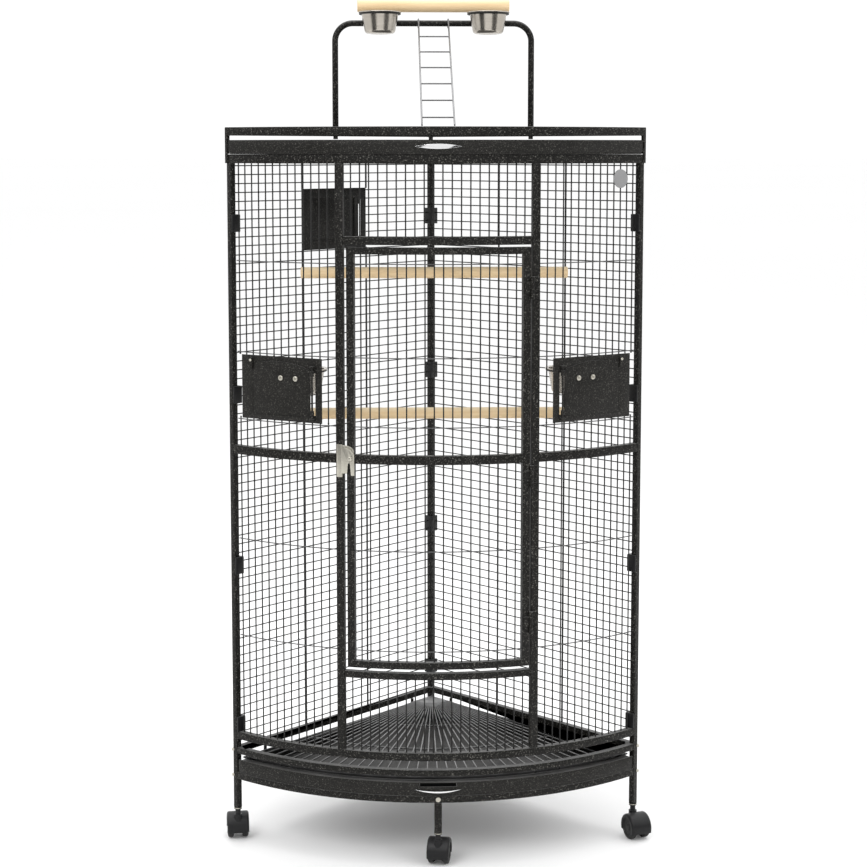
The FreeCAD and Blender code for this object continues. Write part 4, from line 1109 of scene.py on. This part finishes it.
@dataclass
class Studio:
    """Pale floor, soft lights and the camera."""

    eye: Triple = (-0.1042, -3.8313, 1.4538)
    ahead: Triple = (0.0266, 0.9947, -0.0993)
    lens: float = 74.77
    sensor: float = 36.0
    shift: float = -0.1203
    floor_reach: float = 300.0
    floor_tone: Pair = (0.93, 0.95)
    sky_strength: float = 1.06
    lit_point: Triple = (0.0, -0.1, 0.9)
    card_near: Pair = (1.3, -2.6)
    card_far: Pair = (2.2, -1.2)
    card_rise: Pair = (0.2, 3.0)
    lamps: tuple[Lamp, ...] = (Lamp("key", (-2.4, -3.2, 3.6), 2.2, 80.0), Lamp("fill", (2.8, -2.4, 2.2), 2.4, 35.0),
                               Lamp("top", (0.2, 0.4, 4.2), 2.6, 45.0))

    def build(self) -> None:
        """Set the floor, the sky, the lights and the camera."""
        self.floor()
        self.sky()
        for lamp in self.lamps:
            self.hang(lamp)
        for sign in (-1, 1):
            self.card(sign)
        self.camera()
        bpy.context.scene.view_settings.view_transform = "Standard"

    def floor(self) -> None:
        """Lay the pale floor."""
        reach = self.floor_reach
        edge = [Vector((x * reach, y * reach, 0)) for x, y in ((-1, -1), (1, -1), (1, 1), (-1, 1))]
        floor = Workshop.new_object("studio_floor", edge, None, [[0, 1, 2, 3]])
        paint = bpy.data.materials.new("studio_floor_paint")
        paint.use_nodes = True
        g = Graph(paint.node_tree)
        shader = paint.node_tree.nodes["Principled BSDF"]
        shader.inputs["Roughness"].default_value = 0.9
        noise = g.add("ShaderNodeTexNoise", in_Scale=40.0)
        tone = g.add("ShaderNodeMapRange", in_Value=(noise, 0), in_To_Min=self.floor_tone[0],
                     in_To_Max=self.floor_tone[1])
        g.join(tone, 0, shader, "Base Color")
        floor.data.materials.append(paint)

    def sky(self) -> None:
        """Surround the scene with even white light."""
        world = bpy.data.worlds.new("studio")
        bpy.context.scene.world = world
        world.use_nodes = True
        background = world.node_tree.nodes["Background"]
        background.inputs["Color"].default_value = (1.0, 1.0, 1.0, 1.0)
        background.inputs["Strength"].default_value = self.sky_strength

    def hang(self, lamp: Lamp) -> None:
        """Hang one soft light that looks at the cage.

        Args:
            lamp: its place, size and power.
        """
        light = bpy.data.lights.new(lamp.name, "AREA")
        light.size = lamp.size
        light.energy = lamp.power
        thing = bpy.data.objects.new(lamp.name, light)
        bpy.context.scene.collection.objects.link(thing)
        place = Vector(lamp.place)
        aim = (Vector(self.lit_point) - place).to_track_quat("-Z", "Y").to_matrix().to_4x4()
        thing.matrix_world = Matrix.Translation(place) @ aim

    def card(self, sign: int) -> None:
        """Stand a dark card at one side that only shows as a reflection in the metal.

        Args:
            sign: -1 for the left side, 1 for the right.
        """
        black = bpy.data.materials.new("studio_card_%d" % sign)
        black.use_nodes = True
        black.node_tree.nodes["Principled BSDF"].inputs["Base Color"].default_value = (0.01, 0.01, 0.01, 1.0)
        feet, (low, high) = (self.card_near, self.card_far), self.card_rise
        places = [Vector((sign * x, y, low)) for x, y in feet] + [Vector((sign * x, y, high)) for x, y in feet[::-1]]
        card = Workshop.new_object("studio_card_%d" % sign, places, None, [[0, 1, 2, 3]])
        card.data.materials.append(black)
        card.visible_camera = False
        card.visible_shadow = False
        card.visible_diffuse = False

    def camera(self) -> None:
        """Place the camera level, a little above the middle, with the frame shifted down."""
        lens = bpy.data.cameras.new("studio_camera")
        lens.lens = self.lens
        lens.sensor_width = self.sensor
        lens.shift_y = self.shift
        thing = bpy.data.objects.new("studio_camera", lens)
        bpy.context.scene.collection.objects.link(thing)
        ahead = Vector(self.ahead).normalized()
        right = ahead.cross(UP).normalized()
        up = right.cross(ahead)
        turn = Matrix((right, up, -ahead)).transposed().to_4x4()
        thing.matrix_world = Matrix.Translation(Vector(self.eye)) @ turn
        bpy.context.scene.camera = thing


def main() -> None:
    """Build every sub-assembly in order."""
    logging.basicConfig(level=logging.INFO, format="%(name)s: %(message)s")
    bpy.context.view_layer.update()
    lines = Centrelines()
    shop = Workshop()
    Studio().build()
    for assembly in (FrameWork, WireWork, Door, Feeders, PlayTop, Trays, Casters):
        assembly(shop, lines).build()


if __name__ == "__main__":
    main()
